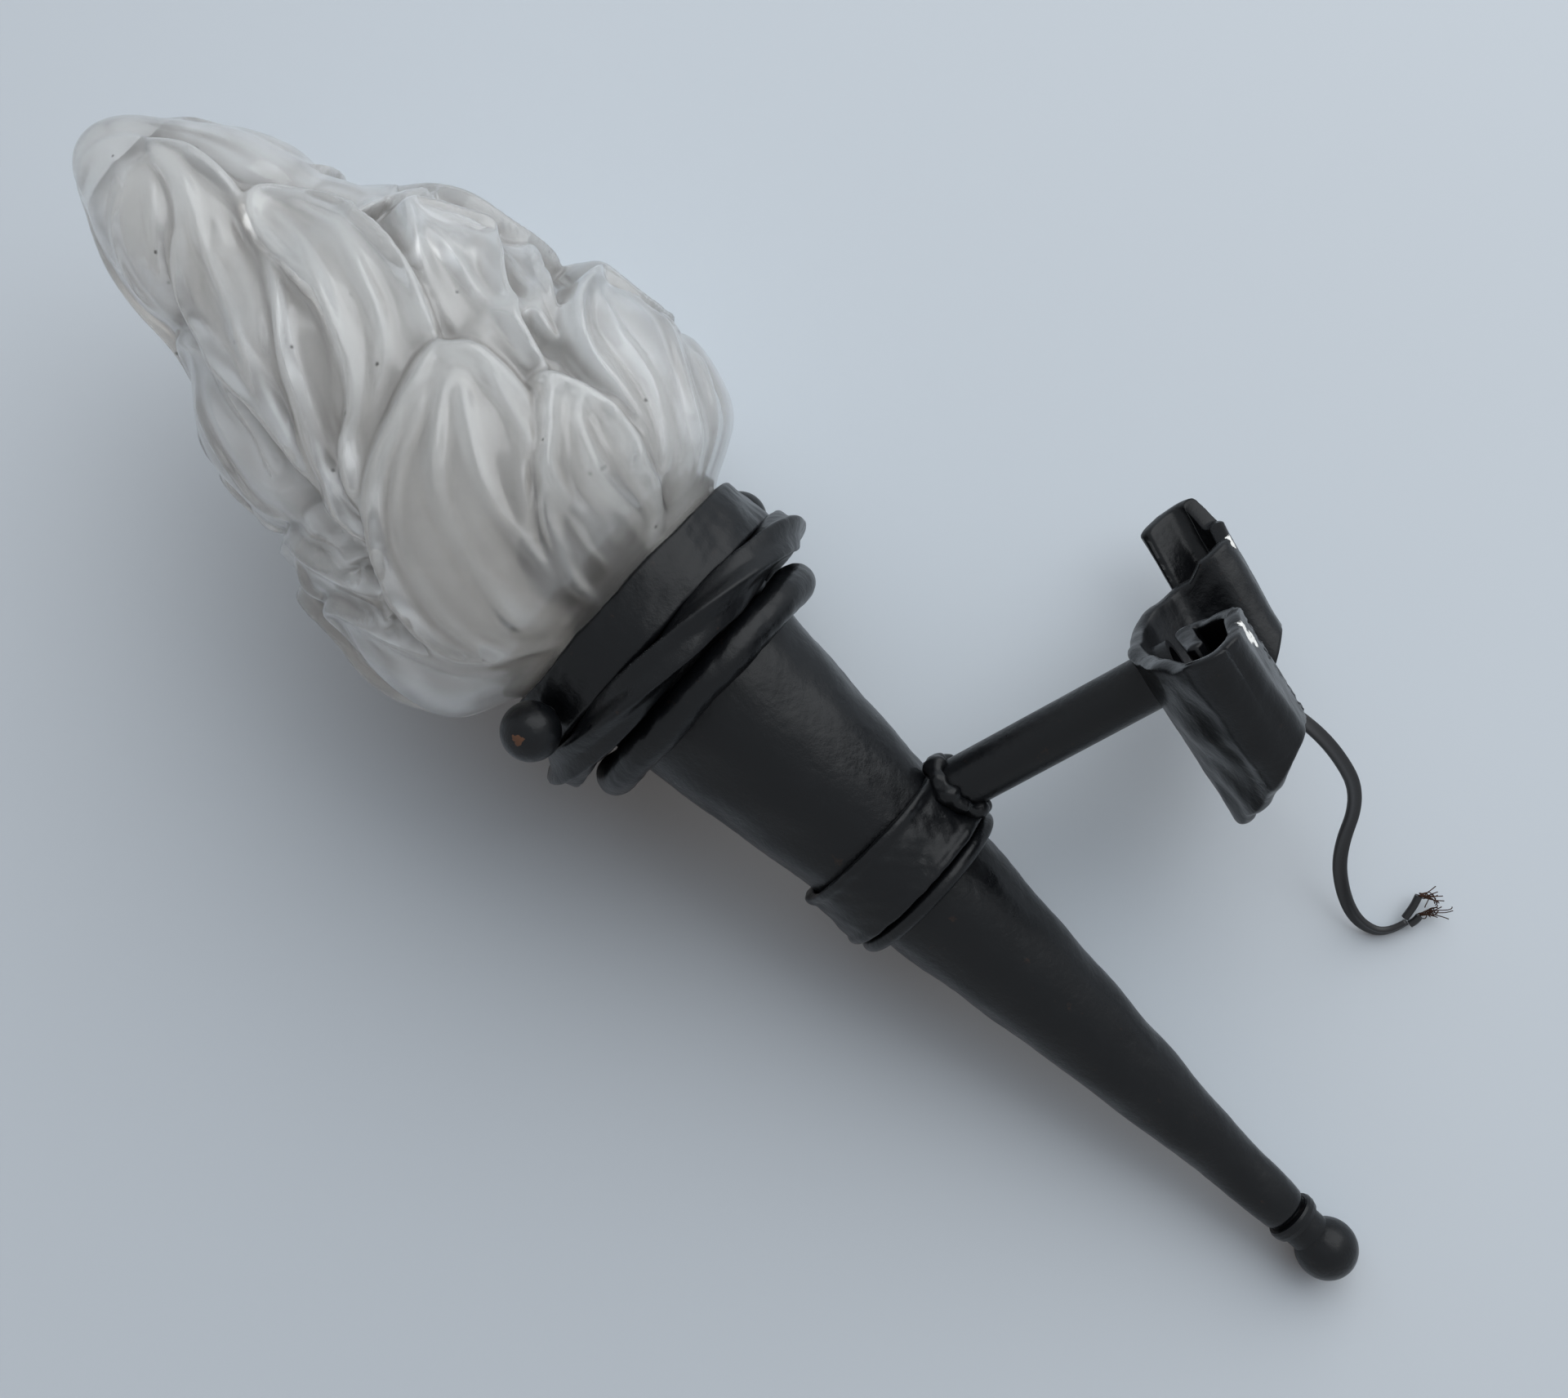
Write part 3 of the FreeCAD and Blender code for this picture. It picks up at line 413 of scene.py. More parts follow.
def make_fray():
    """Bare copper strands splayed out of both cores: each strand is a thin tube along a line that
    runs from the core's mouth towards the bundle's end by its own reach, and leaves that way by its
    own splay times share to the power 1.7 and its own curl, a sine that grows along the strand."""
    spin = np.random.default_rng(7)
    share = np.linspace(0.0, 1.0, STRAND_STEPS)[:, None]
    around = np.linspace(0.0, 2.0 * np.pi, STRAND_SIDES, endpoint=False)[:, None]
    strands = []
    for start, end in zip(np.array(FRAY_STARTS), np.array(FRAY_ENDS)):
        for _ in range(STRANDS_PER_CORE):
            reach = 0.55 + 0.5 * spin.random()
            splay = spin.normal(0.0, 1.5, 3)
            curl = spin.normal(0.0, 1.1, 3)
            root = start + spin.normal(0.0, 0.32, 3)
            line = root + (end - start) * reach * share + splay * share ** 1.7
            line = line + curl * np.sin(share * (5.0 + 3.0 * spin.random())) * share * 0.8
            line[:, 1] = np.minimum(line[:, 1], -STRAND_WALL_GAP)
            _, side, third = frames_along(line, (0.3, 0.1, 1.0))
            ring = side[:, None] * np.cos(around) + third[:, None] * np.sin(around)
            strands.append(line[:, None] + STRAND_RADIUS * ring)
    row, column = np.meshgrid(np.arange(STRAND_STEPS - 1) * STRAND_SIDES, np.arange(STRAND_SIDES),
                              indexing="ij")
    after = (column + 1) % STRAND_SIDES
    walls = np.stack([row + column, row + after, row + STRAND_SIDES + after,
                      row + STRAND_SIDES + column], -1).reshape(-1, 4)
    mouth = np.arange(STRAND_SIDES)
    ends = np.stack([mouth[::-1], mouth + (STRAND_STEPS - 1) * STRAND_SIDES])
    first = np.arange(len(strands))[:, None, None] * STRAND_STEPS * STRAND_SIDES
    faces = (walls + first).reshape(-1, 4).tolist() + (ends + first).reshape(-1, STRAND_SIDES).tolist()
    fray = mesh_object("frayed_strands", np.concatenate(strands).reshape(-1, 3) * MM, faces)
    face_outwards(fray.data)
    return fray


# ------------------------------------------------------------------ the glass flame
# Core of the flame, (height, radius): what stands between and behind its leaves. FLAME_COVER is
# the same over the leaves. All lengths of the flame are millimetres in the torch's own frame.
FLAME_CORE = [
    (290.8, 43.5), (304.0, 43.6), (308.0, 47.0), (312.0, 54.0), (318.0, 59.5), (328.0, 64.0), (340.0, 66.5),
    (352.0, 65.0), (366.0, 61.0), (380.0, 57.5), (398.0, 54.5), (414.0, 50.5), (428.0, 45.5), (440.0, 39.5),
    (456.0, 34.0), (470.0, 31.5), (484.0, 28.0), (495.0, 23.5), (502.0, 20.0), (508.0, 17.0), (514.0, 13.0),
    (518.0, 8.8), (520.3, 4.2), (520.8, 0.0),
]
FLAME_COVER = [
    (290.8, 43.5), (300.0, 45.0), (307.0, 50.0), (317.0, 65.0), (329.0, 71.0), (344.0, 73.5), (360.0, 71.5),
    (378.0, 69.5), (386.0, 64.5), (401.0, 61.5), (418.0, 59.5), (430.0, 54.0), (440.0, 46.0), (450.0, 39.5),
    (458.0, 36.6), (472.0, 34.5), (484.0, 31.0), (497.0, 25.0), (506.0, 19.5), (516.0, 12.0), (520.8, 0.0),
]
# Leaves of the flame in the order in which they overlap: how far each lies over the cover line, and
# its outline as (degrees round the torch from +X, height).
LEAVES = [
    ("tip_right", -0.5,
     [(40, 462), (34, 490), (36, 508), (60, 517), (90, 518), (120, 512), (132, 490), (124, 462), (100, 438),
      (70, 430), (46, 440)]),
    ("tip_left", 0.5,
     [(-22, 446), (8, 456), (38, 470), (52, 490), (42, 506), (4, 513), (-40, 511), (-72, 507), (-100, 494),
      (-114, 470), (-100, 457), (-60, 452)]),
    ("upper_far", -2.0,
     [(60, 360), (76, 378), (96, 392), (110, 400), (120, 408), (117, 420), (100, 428), (80, 432), (70, 424),
      (64, 404), (58, 380)]),
    ("upper_left", -1.0,
     [(-12, 362), (-30, 366), (-50, 374), (-72, 390), (-84, 410), (-82, 430), (-66, 446), (-46, 454),
      (-28, 450), (-14, 436), (-8, 410), (-8, 385)]),
    ("upper_right", -0.5,
     [(36, 360), (50, 352), (53, 362), (57, 375), (67, 387), (79, 397), (86, 406), (80, 416), (72, 428),
      (60, 420), (48, 404), (40, 385)]),
    ("long", 0.6,
     [(-14, 360), (-17, 382), (-16, 401), (-13, 418), (-18, 437), (-20, 454), (-6, 465), (13, 472),
      (24, 481), (33, 492), (46, 498), (54, 488), (50, 470), (44, 455), (34, 440), (20, 420), (8, 396),
      (2, 372)]),
    ("upper_fold", -1.0,
     [(-14, 360), (-14, 380), (-11, 395), (-3, 407), (4, 417), (13, 428), (21, 441), (31, 453), (40, 458),
      (44, 440), (40, 420), (34, 400), (24, 380), (6, 360)]),
    ("upper_front", 1.6,
     [(-8, 352), (-9, 366), (-7, 376), (-2, 386), (8, 393), (15, 401), (20, 410), (24, 420), (26, 434),
      (30, 450), (38, 459), (50, 463), (60, 456), (63, 444), (57, 430), (52, 416), (48, 404), (42, 392),
      (34, 376), (16, 356)]),
    ("far_right", -1.5,
     [(92, 300), (104, 322), (114, 338), (121, 352), (127, 364), (138, 366), (150, 352), (158, 330),
      (160, 300)]),
    ("left", -1.5,
     [(-98, 300), (-96, 330), (-92, 344), (-80, 356), (-64, 362), (-44, 360), (-30, 352), (-22, 336),
      (-16, 318), (-8, 300)]),
    ("left_small", -1.0,
     [(-16, 348), (-24, 362), (-33, 383), (-44, 389), (-62, 388), (-76, 378), (-80, 364), (-70, 352),
      (-46, 346), (-26, 344)]),
    ("right", 0.0,
     [(46, 300), (50, 318), (54, 330), (55.5, 342), (57.5, 354), (63, 365), (72, 372), (86, 376), (100, 378),
      (114, 380), (121, 372), (122, 356), (116, 338), (104, 322), (92, 300)]),
    ("front", 1.0,
     [(-4, 300), (-14, 312), (-22, 325), (-22, 335), (-19, 347), (-15, 358), (-5, 372), (8, 380), (22, 385),
      (36, 388), (42, 379), (43.5, 366), (41.5, 355), (35, 347), (27, 339), (20, 329), (16, 318), (14, 300)]),
    ("front_lobe", 0.2,
     [(14, 300), (16, 318), (20, 329), (27, 339), (35, 347), (42, 355), (46, 361), (50, 357), (53.5, 346),
      (54, 332), (52, 318), (49, 300)]),
]
# Flutes on the leaves: height, half width, and the line of the ridge, as an outline is given.
RIDGES = [
    (1.7, 2.6, [(28, 379), (19, 375), (7, 369), (-4, 358), (-10, 339), (-13, 319), (-20, 306)]),
    (1.6, 2.6, [(24, 379), (10, 376), (-4, 368), (-16, 356), (-22, 340), (-26, 322), (-34, 307)]),
    (1.8, 2.6, [(34, 379), (23, 371), (12, 359), (6, 345), (2, 327), (-2, 309)]),
    (1.8, 2.6, [(36, 378), (27, 365), (20, 351), (16, 335), (16, 317), (15, 306)]),
    (1.6, 2.4, [(39, 377), (36, 361), (32, 344), (30, 330), (29, 315)]),
    (1.5, 2.4, [(46, 356), (37, 348), (30, 336), (27, 320), (29, 307)]),
    (1.5, 2.4, [(50, 349), (43, 341), (39, 325), (44, 308)]),
    (1.3, 2.4, [(53, 341), (48, 332), (50, 315), (58, 306)]),
    (1.6, 2.6, [(47, 458), (38, 440), (27, 419), (16, 404), (4, 391), (-3, 378)]),
    (1.6, 2.6, [(54, 456), (48, 436), (38, 415), (30, 400), (16, 388), (3, 378)]),
    (1.5, 2.6, [(62, 453), (58, 434), (49, 412), (41, 397)]),
    (1.4, 2.4, [(37, 454), (22, 435), (10, 420), (0, 403), (-8, 390), (-11, 376)]),
    (1.7, 2.8, [(42, 490), (27, 472), (10, 457), (1, 433), (-8, 408), (-16, 389)]),
    (1.5, 2.8, [(46, 487), (43, 470), (38, 459), (24, 445)]),
    (1.6, 2.6, [(93, 371), (90, 353), (79, 337), (72, 322), (70, 308)]),
    (1.6, 2.6, [(104, 374), (100, 354), (90, 336), (82, 320), (78, 306)]),
    (1.4, 2.6, [(118, 372), (112, 352), (102, 334), (94, 318), (90, 306)]),
    (1.6, 2.6, [(85, 373), (70, 354), (65, 335), (59, 321), (52, 315)]),
    (1.5, 2.6, [(75, 372), (60, 358), (54, 340), (51, 326), (46, 322)]),
    (1.4, 2.6, [(77, 414), (84, 401), (70, 383), (58, 368), (58, 356)]),
    (1.4, 2.6, [(67, 417), (61, 402), (54, 383), (51, 367)]),
    (1.5, 2.6, [(-37, 440), (-35, 420), (-42, 402), (-35, 387)]),
    (1.5, 2.6, [(-56, 440), (-60, 420), (-58, 402), (-50, 386)]),
    (1.5, 2.8, [(-36, 358), (-32, 342), (-26, 324), (-20, 308)]),
    (1.5, 2.8, [(-52, 360), (-47, 342), (-40, 324), (-33, 308)]),
    (1.4, 2.8, [(-68, 358), (-62, 340), (-55, 322), (-48, 308)]),
    (1.4, 2.6, [(-36, 384), (-46, 374), (-50, 362), (-44, 350)]),
    (1.5, 2.6, [(-18, 436), (-18, 414), (-24, 397)]),
    (1.3, 2.8, [(24, 509), (10, 494), (-14, 486), (-29, 475), (-38, 461)]),
    (1.2, 2.8, [(48, 505), (24, 487), (4, 475), (-16, 463)]),
]

# A leaf's edge has a bead along the rim, a trough inside it and a trench outside it, at these
# distances inside the outline. They shrink in proportion where the core is thinner than FULL_CORE.
FULL_CORE, LEAST_SHARE = 48.0, 0.25
BEAD_HEIGHT, BEAD_PLACE, BEAD_HALF = 1.7, 2.2, 2.0
TROUGH_DEPTH, TROUGH_PLACE, TROUGH_HALF = 2.0, 9.0, 4.5
TRENCH_DEPTH, TRENCH_REACH, TRENCH_FLOOR = 5.0, 4.2, -2.2
# A flute's ridge is this many times its height, between hollows of this share and half width.
FLUTE_GAIN, FLUTE_HOLLOW, FLUTE_HOLLOW_HALF = 2.0, 0.4, 5.0
# How far round an outline or a line its leaf or flute is worked out: degrees, and millimetres up.
MARGIN_ROUND, LEAF_MARGIN, FLUTE_MARGIN = 14.0, 14.0, 10.0

# The flame's mesh: rows up the outside, points round it, and rows down the hollow.
FLAME_ROWS, FLAME_COLUMNS, HOLLOW_ROWS = 260, 330, 24
# Height of the hollow's top, the wall behind the core, and the bore's radius at the foot.
HOLLOW_TOP = 500.0
GLASS_WALL = 5.0
NECK_BORE = 39.8
# How far the glass may reach to either side, and over how much of that it is eased in.
HALF_WIDTH, WIDTH_EASE = 72.9, 4.0


def smooth_line(points, count, closed=False):
    """Points along a Catmull-Rom line through control points, evenly by control point: between two
    of them a cubic whose slope at each is half the way between its neighbours."""
    control = np.array(points, float)
    if closed:
        padded = np.vstack([control[-1:], control, control[:2]])
        spans = len(control)
    else:
        padded = np.vstack([2 * control[:1] - control[1:2], control, 2 * control[-1:] - control[-2:-1]])
        spans = len(control) - 1
    share = np.linspace(0.0, spans, count, endpoint=not closed)
    index = np.minimum(share.astype(int), spans - 1)
    t = (share - index)[:, None]
    a, b, c, e = (padded[index + k] for k in range(4))
    square, cube = 2 * a - 5 * b + 4 * c - e, 3 * b - a - 3 * c + e
    return 0.5 * (2 * b + (c - a) * t + square * t ** 2 + cube * t ** 3)


def radius_at(profile, height):
    """Radius of the flame at a height, by a smooth line through a profile."""
    line = smooth_line(profile, 600)
    return np.interp(height, line[:, 0], line[:, 1])


def sway(height):
    """How far a level of the flame stands towards the wall from the torch's axis: a parabola that
    leans 3 mm to the wall a third of the way up and 7 mm away from it at the tip."""
    share = np.clip((height - GLASS_FOOT) / FLAME_HEIGHT, 0.0, 1.0)
    return share * (17.6 - 24.6 * share)


def on_core(degrees, height):
    """Points in the torch's frame on the flame's core."""
    radius = radius_at(FLAME_CORE, height)
    angle = np.radians(degrees)
    return np.stack([radius * np.cos(angle), radius * np.sin(angle), height], -1)


def nearest(points, line):
    """Distance in millimetres from each point to the nearest of a line's points, and its share along."""
    best = np.full(len(points), 1e9)
    where = np.zeros(len(points))
    for index, spot in enumerate(line):
        distance = ((points - spot) ** 2).sum(1)
        closer = distance < best
        best = np.where(closer, distance, best)
        where = np.where(closer, index / (len(line) - 1.0), where)
    return np.sqrt(best), where


def inside_outline(degrees, height, outline):
    """Whether points lie inside a closed outline in degrees and height, by counting crossings."""
    crossings = np.zeros(degrees.shape, int)
    for (x0, y0), (x1, y1) in zip(outline, np.roll(outline, -1, axis=0)):
        spans = (y0 > height) != (y1 > height)
        if y0 != y1:
            crossings += spans & (degrees < (x1 - x0) * (height - y0) / (y1 - y0) + x0)
    return crossings % 2 == 1


def step(value, low, high):
    """Smooth step from 0 at low to 1 at high."""
    t = np.clip((value - low) / (high - low), 0.0, 1.0)
    return t * t * (3.0 - 2.0 * t)


def edge_size(height):
    """Share of their full size that beads, troughs and flutes have at a height."""
    return np.clip(radius_at(FLAME_CORE, height) / FULL_CORE, LEAST_SHARE, 1.0)


def close_to(around, height, line, margin):
    """Which points lie within the margins of a line's range of degrees and of heights."""
    return ((height > line[:, 1].min() - margin) & (height < line[:, 1].max() + margin)
            & (around > line[:, 0].min() - MARGIN_ROUND) & (around < line[:, 0].max() + MARGIN_ROUND))


def paint_leaf(relief, around, height, fade, lift, outline):
    """Paints one leaf over the relief so far. Inside its outline it stands at the cover line plus its
    lift, with the bead and the trough as bell curves of the depth inside the outline. Outside, the
    trench falls away from the rim by an exponential. Both fade out at the neck."""
    edge = smooth_line(outline, 160, closed=True)
    near = close_to(around, height, edge, LEAF_MARGIN)
    if not near.any():
        return
    level = height[near]
    distance, _ = nearest(on_core(around[near], level), on_core(edge[:, 0], edge[:, 1]))
    depth = np.where(inside_outline(around[near], level, edge), distance, -distance)
    size = edge_size(level)
    rise = radius_at(FLAME_COVER, level) - radius_at(FLAME_CORE, level) + lift
    leaf = np.maximum(rise, 1.0) + BEAD_HEIGHT * size * np.exp(-((depth - BEAD_PLACE) / BEAD_HALF) ** 2)
    leaf -= TROUGH_DEPTH * size * np.exp(-((depth - TROUGH_PLACE) / TROUGH_HALF) ** 2)
    trench = TRENCH_DEPTH * size * np.exp(np.minimum(depth, 0.0) / TRENCH_REACH)
    under = np.maximum(relief[near] - trench, TRENCH_FLOOR)
    shown = step(level, 304.0, 316.0) * fade[near]
    share = step(depth, -1.0, 1.5) * shown
    relief[near] = leaf * share + (1.0 - share) * (relief[near] * (1.0 - shown) + under * shown)


def add_flute(relief, around, height, tall, wide, line):
    """Adds one flute to the relief: a narrow bell curve along a line, less a wide shallow one, dying
    away towards both ends and at the neck."""
    track = smooth_line(line, 70)
    near = close_to(around, height, track, FLUTE_MARGIN)
    level = height[near]
    distance, along = nearest(on_core(around[near], level), on_core(track[:, 0], track[:, 1]))
    fall = step(along, 0.0, 0.16) * step(1.0 - along, 0.0, 0.12) * step(level, 303.0, 311.0)
    ridge = np.exp(-(distance / (0.66 * wide)) ** 2)
    ridge -= FLUTE_HOLLOW * np.exp(-(distance / FLUTE_HOLLOW_HALF) ** 2)
    relief[near] += FLUTE_GAIN * tall * edge_size(level) * fall * ridge


def flame_relief(degrees, height):
    """Height over the core: the leaves painted one over the other, then the flutes. The back of the
    flame repeats them half a turn on, fading out where it meets the front."""
    relief = np.zeros(degrees.shape)
    for turn in (0.0, 180.0):
        around = (degrees - turn + 90.0) % 360.0 - 90.0
        fade = step(around, -110.0, -96.0) * step(-around, -168.0, -150.0) if turn else np.ones(relief.shape)
        for _, lift, outline in LEAVES:
            paint_leaf(relief, around, height, fade, lift, outline)
        for tall, wide, line in RIDGES:
            add_flute(relief, around, height, tall, wide, line)
    return relief


def blurred(values, own, passes):
    """Values on a grid whose columns go round the torch. Each is averaged with its two neighbours
    round the torch and then with those along it, own being its weight against 1 for each of them."""
    for _ in range(passes):
        values = (own * values + np.roll(values, 1, 1) + np.roll(values, -1, 1)) / (own + 2.0)
        inner = (own * values[1:-1] + values[:-2] + values[2:]) / (own + 2.0)
        values = np.vstack([values[:1], inner, values[-1:]])
    return values


def kept_in_width(reach, angle):
    """Distances from the axis, eased over their last 4 mm so that x stays within HALF_WIDTH: past
    there they near the limit by an exponential."""
    limit = HALF_WIDTH / np.maximum(np.abs(np.cos(angle)), 0.2)
    over = reach - limit + WIDTH_EASE
    return np.where(over > 0.0, limit - WIDTH_EASE * np.exp(-np.maximum(over, 0.0) / WIDTH_EASE), reach)


def flame_points(reach, angle, height):
    """Grid of points in the row frame, at distances and angles round the flame's swaying middle."""
    points = torch_to_row(reach * np.cos(angle), reach * np.sin(angle) + sway(height), height)
    return points.reshape(*height.shape, 3)


def make_flame():
    """Hollow pressed glass flame. Outside it is the core's line turned round the torch, plus the
    relief, in rows evenly along that line; inside, a plain wall 5 mm behind the core; the two meet
    in the lip at the neck. Its crease_shade attribute says how far a place lies below the broad
    form, for the painted shade that greys the glass's hollows."""
    line = smooth_line(FLAME_CORE, 1200)
    runs = np.concatenate([[0.0], np.cumsum(np.hypot(*np.diff(line, axis=0).T))])
    stops = np.linspace(0.0, runs[-1], FLAME_ROWS + 1)[:-1]
    degrees = np.linspace(-180.0, 180.0, FLAME_COLUMNS, endpoint=False)
    height, around = np.meshgrid(np.interp(stops, runs, line[:, 0]), degrees, indexing="ij")
    relief = flame_relief(around.ravel(), height.ravel()).reshape(height.shape)
    relief = blurred(relief, 2.0, 2) * step(-height, -519.5, -484.0)
    # How far each place lies below the broad form: the glass paints shade into the hollows and pales the
    # ridges from this.
    crease_shade = np.clip((blurred(relief, 1.0, 60) - relief) / 3.0, -1.0, 1.0)
    angle = np.radians(around)
    core = np.interp(stops, runs, line[:, 1])[:, None]
    outside = flame_points(kept_in_width(core + relief, angle), angle, height)
    levels = np.linspace(HOLLOW_TOP, GLASS_FOOT, HOLLOW_ROWS)
    level, angle = np.meshgrid(levels, np.radians(degrees), indexing="ij")
    bore = np.maximum(radius_at(FLAME_CORE, level) - GLASS_WALL, 1.0)
    bore[-1] = NECK_BORE
    inside = flame_points(bore, angle, level)
    flame = grid_mesh("flame_glass", np.concatenate([inside, outside]), closed_v=True, caps=True)
    set_attribute(flame, "crease_shade", np.concatenate([np.zeros(level.size), crease_shade.ravel(), [0.0, 0.0]]))
    return flame


# ------------------------------------------------------------------ the folded bracket
# Plan of the strap at PLAN_LEVEL, in millimetres of the row frame: (x, y, bend radius, height of the
# top edge there), with y counted from the middle of the two flats.
STRAP = [
    (-41.0, -21.0, 0.0, 31.0), (-53.0, -10.0, 6.5, 32.5), (-44.0, 0.0, 6.0, 24.0), (-29.0, 0.0, 7.0, 18.5),
    (-33.0, -20.0, 9.0, 14.6), (-14.0, -32.0, 14.0, 13.6), (14.0, -31.5, 30.0, 13.4),
    (40.0, -22.8, 60.0, 13.4), (64.0, -9.5, 6.5, 13.6), (55.0, 0.0, 6.0, 13.8),
    (27.0, 0.0, 8.0, 13.6), (3.0, -18.7, 3.5, 12.6), (36.0, -12.5, 0.0, 12.0),
]
STRAP_THICKNESS = 4.6
STRAP_CREST, PLAN_LEVEL, STRAP_BOTTOM = 35.0, 14.0, -49.5
# Width of the plan at the strap's bottom, as a share of what it is at PLAN_LEVEL.
STRAP_TAPER = 0.62
# The lower edge rises from the nose to the wall, by this much on the near and on the far side.
NEAR_RISE, FAR_RISE = 26.0, 35.0
EDGE_ROUND = 1.3
STRAP_WALL_GAP = 0.05
STRAP_SIDES = (-73.9, 73.0)
# Plaster left on the wall side: (x, y, height, radius). Dents: (x, y, height, radius, depth).
PLASTER_SPOTS = [(41.0, 0.0, 9.5, 3.6), (36.0, 0.0, 6.0, 2.6), (-38.0, 0.0, 17.0, 2.6)]
DENTS = [
    (47.0, -20.0, -4.0, 6.0, 1.5), (40.0, -23.0, -14.0, 5.0, -1.2), (33.0, -26.0, -24.0, 7.0, 1.3),
    (44.0, -21.0, -18.0, 4.0, 1.2), (24.0, -31.0, -6.0, 9.0, -0.9), (-50.0, -6.0, 4.0, 8.0, 1.0),
    (-20.0, -31.0, 0.0, 9.0, 1.0), (20.0, -30.0, -36.0, 6.0, 1.1), (51.0, -15.0, -20.0, 5.0, -1.0),
]


def strap_plan(share):
    """Centre line of the strap, drawn in across the wall by a share, and the top edge's height at
    each point. Every run has 15 points, every bend 13 on its arc and the last run 17, whatever the
    share, so that the points of two levels match."""
    spots = np.array([(x * share, y) for x, y, _, _ in STRAP])
    bends = np.array([bend for _, _, bend, _ in STRAP]) * (0.4 + 0.6 * share)
    heights = np.array([height for _, _, _, height in STRAP])
    run, arc, last = (np.linspace(0.0, 1.0, count)[1:] for count in (16, 14, 18))
    points, tops = [spots[:1]], [heights[:1]]
    for index in range(1, len(spots) - 1):
        back, ahead = spots[index - 1] - spots[index], spots[index + 1] - spots[index]
        back, ahead = back / np.linalg.norm(back), ahead / np.linalg.norm(ahead)
        half = math.acos(max(-1.0, min(1.0, float(back @ ahead)))) / 2.0
        into = (back + ahead) / np.linalg.norm(back + ahead)
        centre = spots[index] + into * bends[index] / math.sin(half)
        start = spots[index] + back * bends[index] / math.tan(half)
        end = spots[index] + ahead * bends[index] / math.tan(half)
        points.append(points[-1][-1] + (start - points[-1][-1]) * run[:, None])
        tops.append(tops[-1][-1] + (heights[index] - tops[-1][-1]) * run)
        first = math.atan2(*(start - centre)[::-1])
        turn = (math.atan2(*(end - centre)[::-1]) - first + math.pi) % (2.0 * math.pi) - math.pi
        angle = first + turn * arc
        points.append(centre + bends[index] * np.stack([np.cos(angle), np.sin(angle)], -1))
        tops.append(np.full(len(arc), heights[index]))
    points.append(points[-1][-1] + (spots[-1] - points[-1][-1]) * last[:, None])
    tops.append(np.full(len(last), heights[-1]))
    return np.vstack(points), np.concatenate(tops)


def waves(points, size, seed):
    """Smooth pseudo random value between about -1 and 1 at each point, from a sum of six sine waves
    in fixed directions; size is the length of the waves in millimetres."""
    value = np.zeros(points.shape[:-1])
    for index in range(6):
        angle = 2.4 * index + seed
        direction = np.array([math.cos(angle), math.sin(angle * 1.7 + 0.6),
                              math.sin(angle) * 0.8 + 0.3 * index - 0.8])
        pace = direction / np.linalg.norm(direction) * (2.0 * math.pi / size) * (0.7 + 0.17 * index)
        value += np.sin(points @ pace + seed * (index + 1.3))
    return value / 3.0


def strap_bottom(upper, lower, along):
    """Height of the lower edge at each point of the plan: lowest at the nose, rising in a straight
    line with the way to the wall, and a little wavy along the strap."""
    middle = (upper[:, 1] + lower[:, 1]) / 2.0 - STRAP_THICKNESS / 2.0
    near_side = upper[:, 0] > 0
    rise = np.where(near_side, NEAR_RISE, FAR_RISE) * np.clip((middle + 33.9) / 31.6, 0.0, 1.0)
    share = np.where(near_side, 1.0, np.clip(np.abs(upper[:, 0]) / 14.0, 0.0, 1.0))
    return STRAP_BOTTOM + 0.4 + rise * share + 0.5 * np.sin(along / 4.1)


def strap_section():
    """Section of the strap, up one face, over the top edge, down the other face and round the bottom
    edge: side is 1 and -1 on the faces, level 0 and 1 at their ends, bulge the edges' half circles."""
    flat = np.linspace(0.0, 1.0, 34)
    turn = np.linspace(0.0, np.pi, 11)[1:-1]
    side = np.concatenate([np.ones(34), np.cos(turn), -np.ones(34), -np.cos(turn)])
    level = np.concatenate([flat, np.ones(9), 1.0 - flat, np.zeros(9)])
    bulge = np.concatenate([np.zeros(34), np.sin(turn), np.zeros(34), -np.sin(turn)])
    return side, level, bulge


def strap_marks(points):
    """How far the strap's skin stands out at each point: slow and quick waves from the hammer, its
    dents as bell curves, and a lumpy bead of weld where the folded end meets the near flat."""
    lift = 0.22 * waves(points, 24.0, 0.4) + 0.07 * waves(points, 7.0, 1.7)
    for x, y, height, size, depth in DENTS:
        lift -= 0.7 * depth * np.exp(-((points - (x, y, height)) ** 2).sum(-1) / size ** 2)
    bead = np.exp(-((points[..., 0] - 25.0) / 5.0) ** 2) * step(points[..., 1], -7.0, -2.0)
    return lift + bead * (0.6 * waves(points, 4.0, 2.2) + 0.5 * waves(points, 2.3, 0.9))


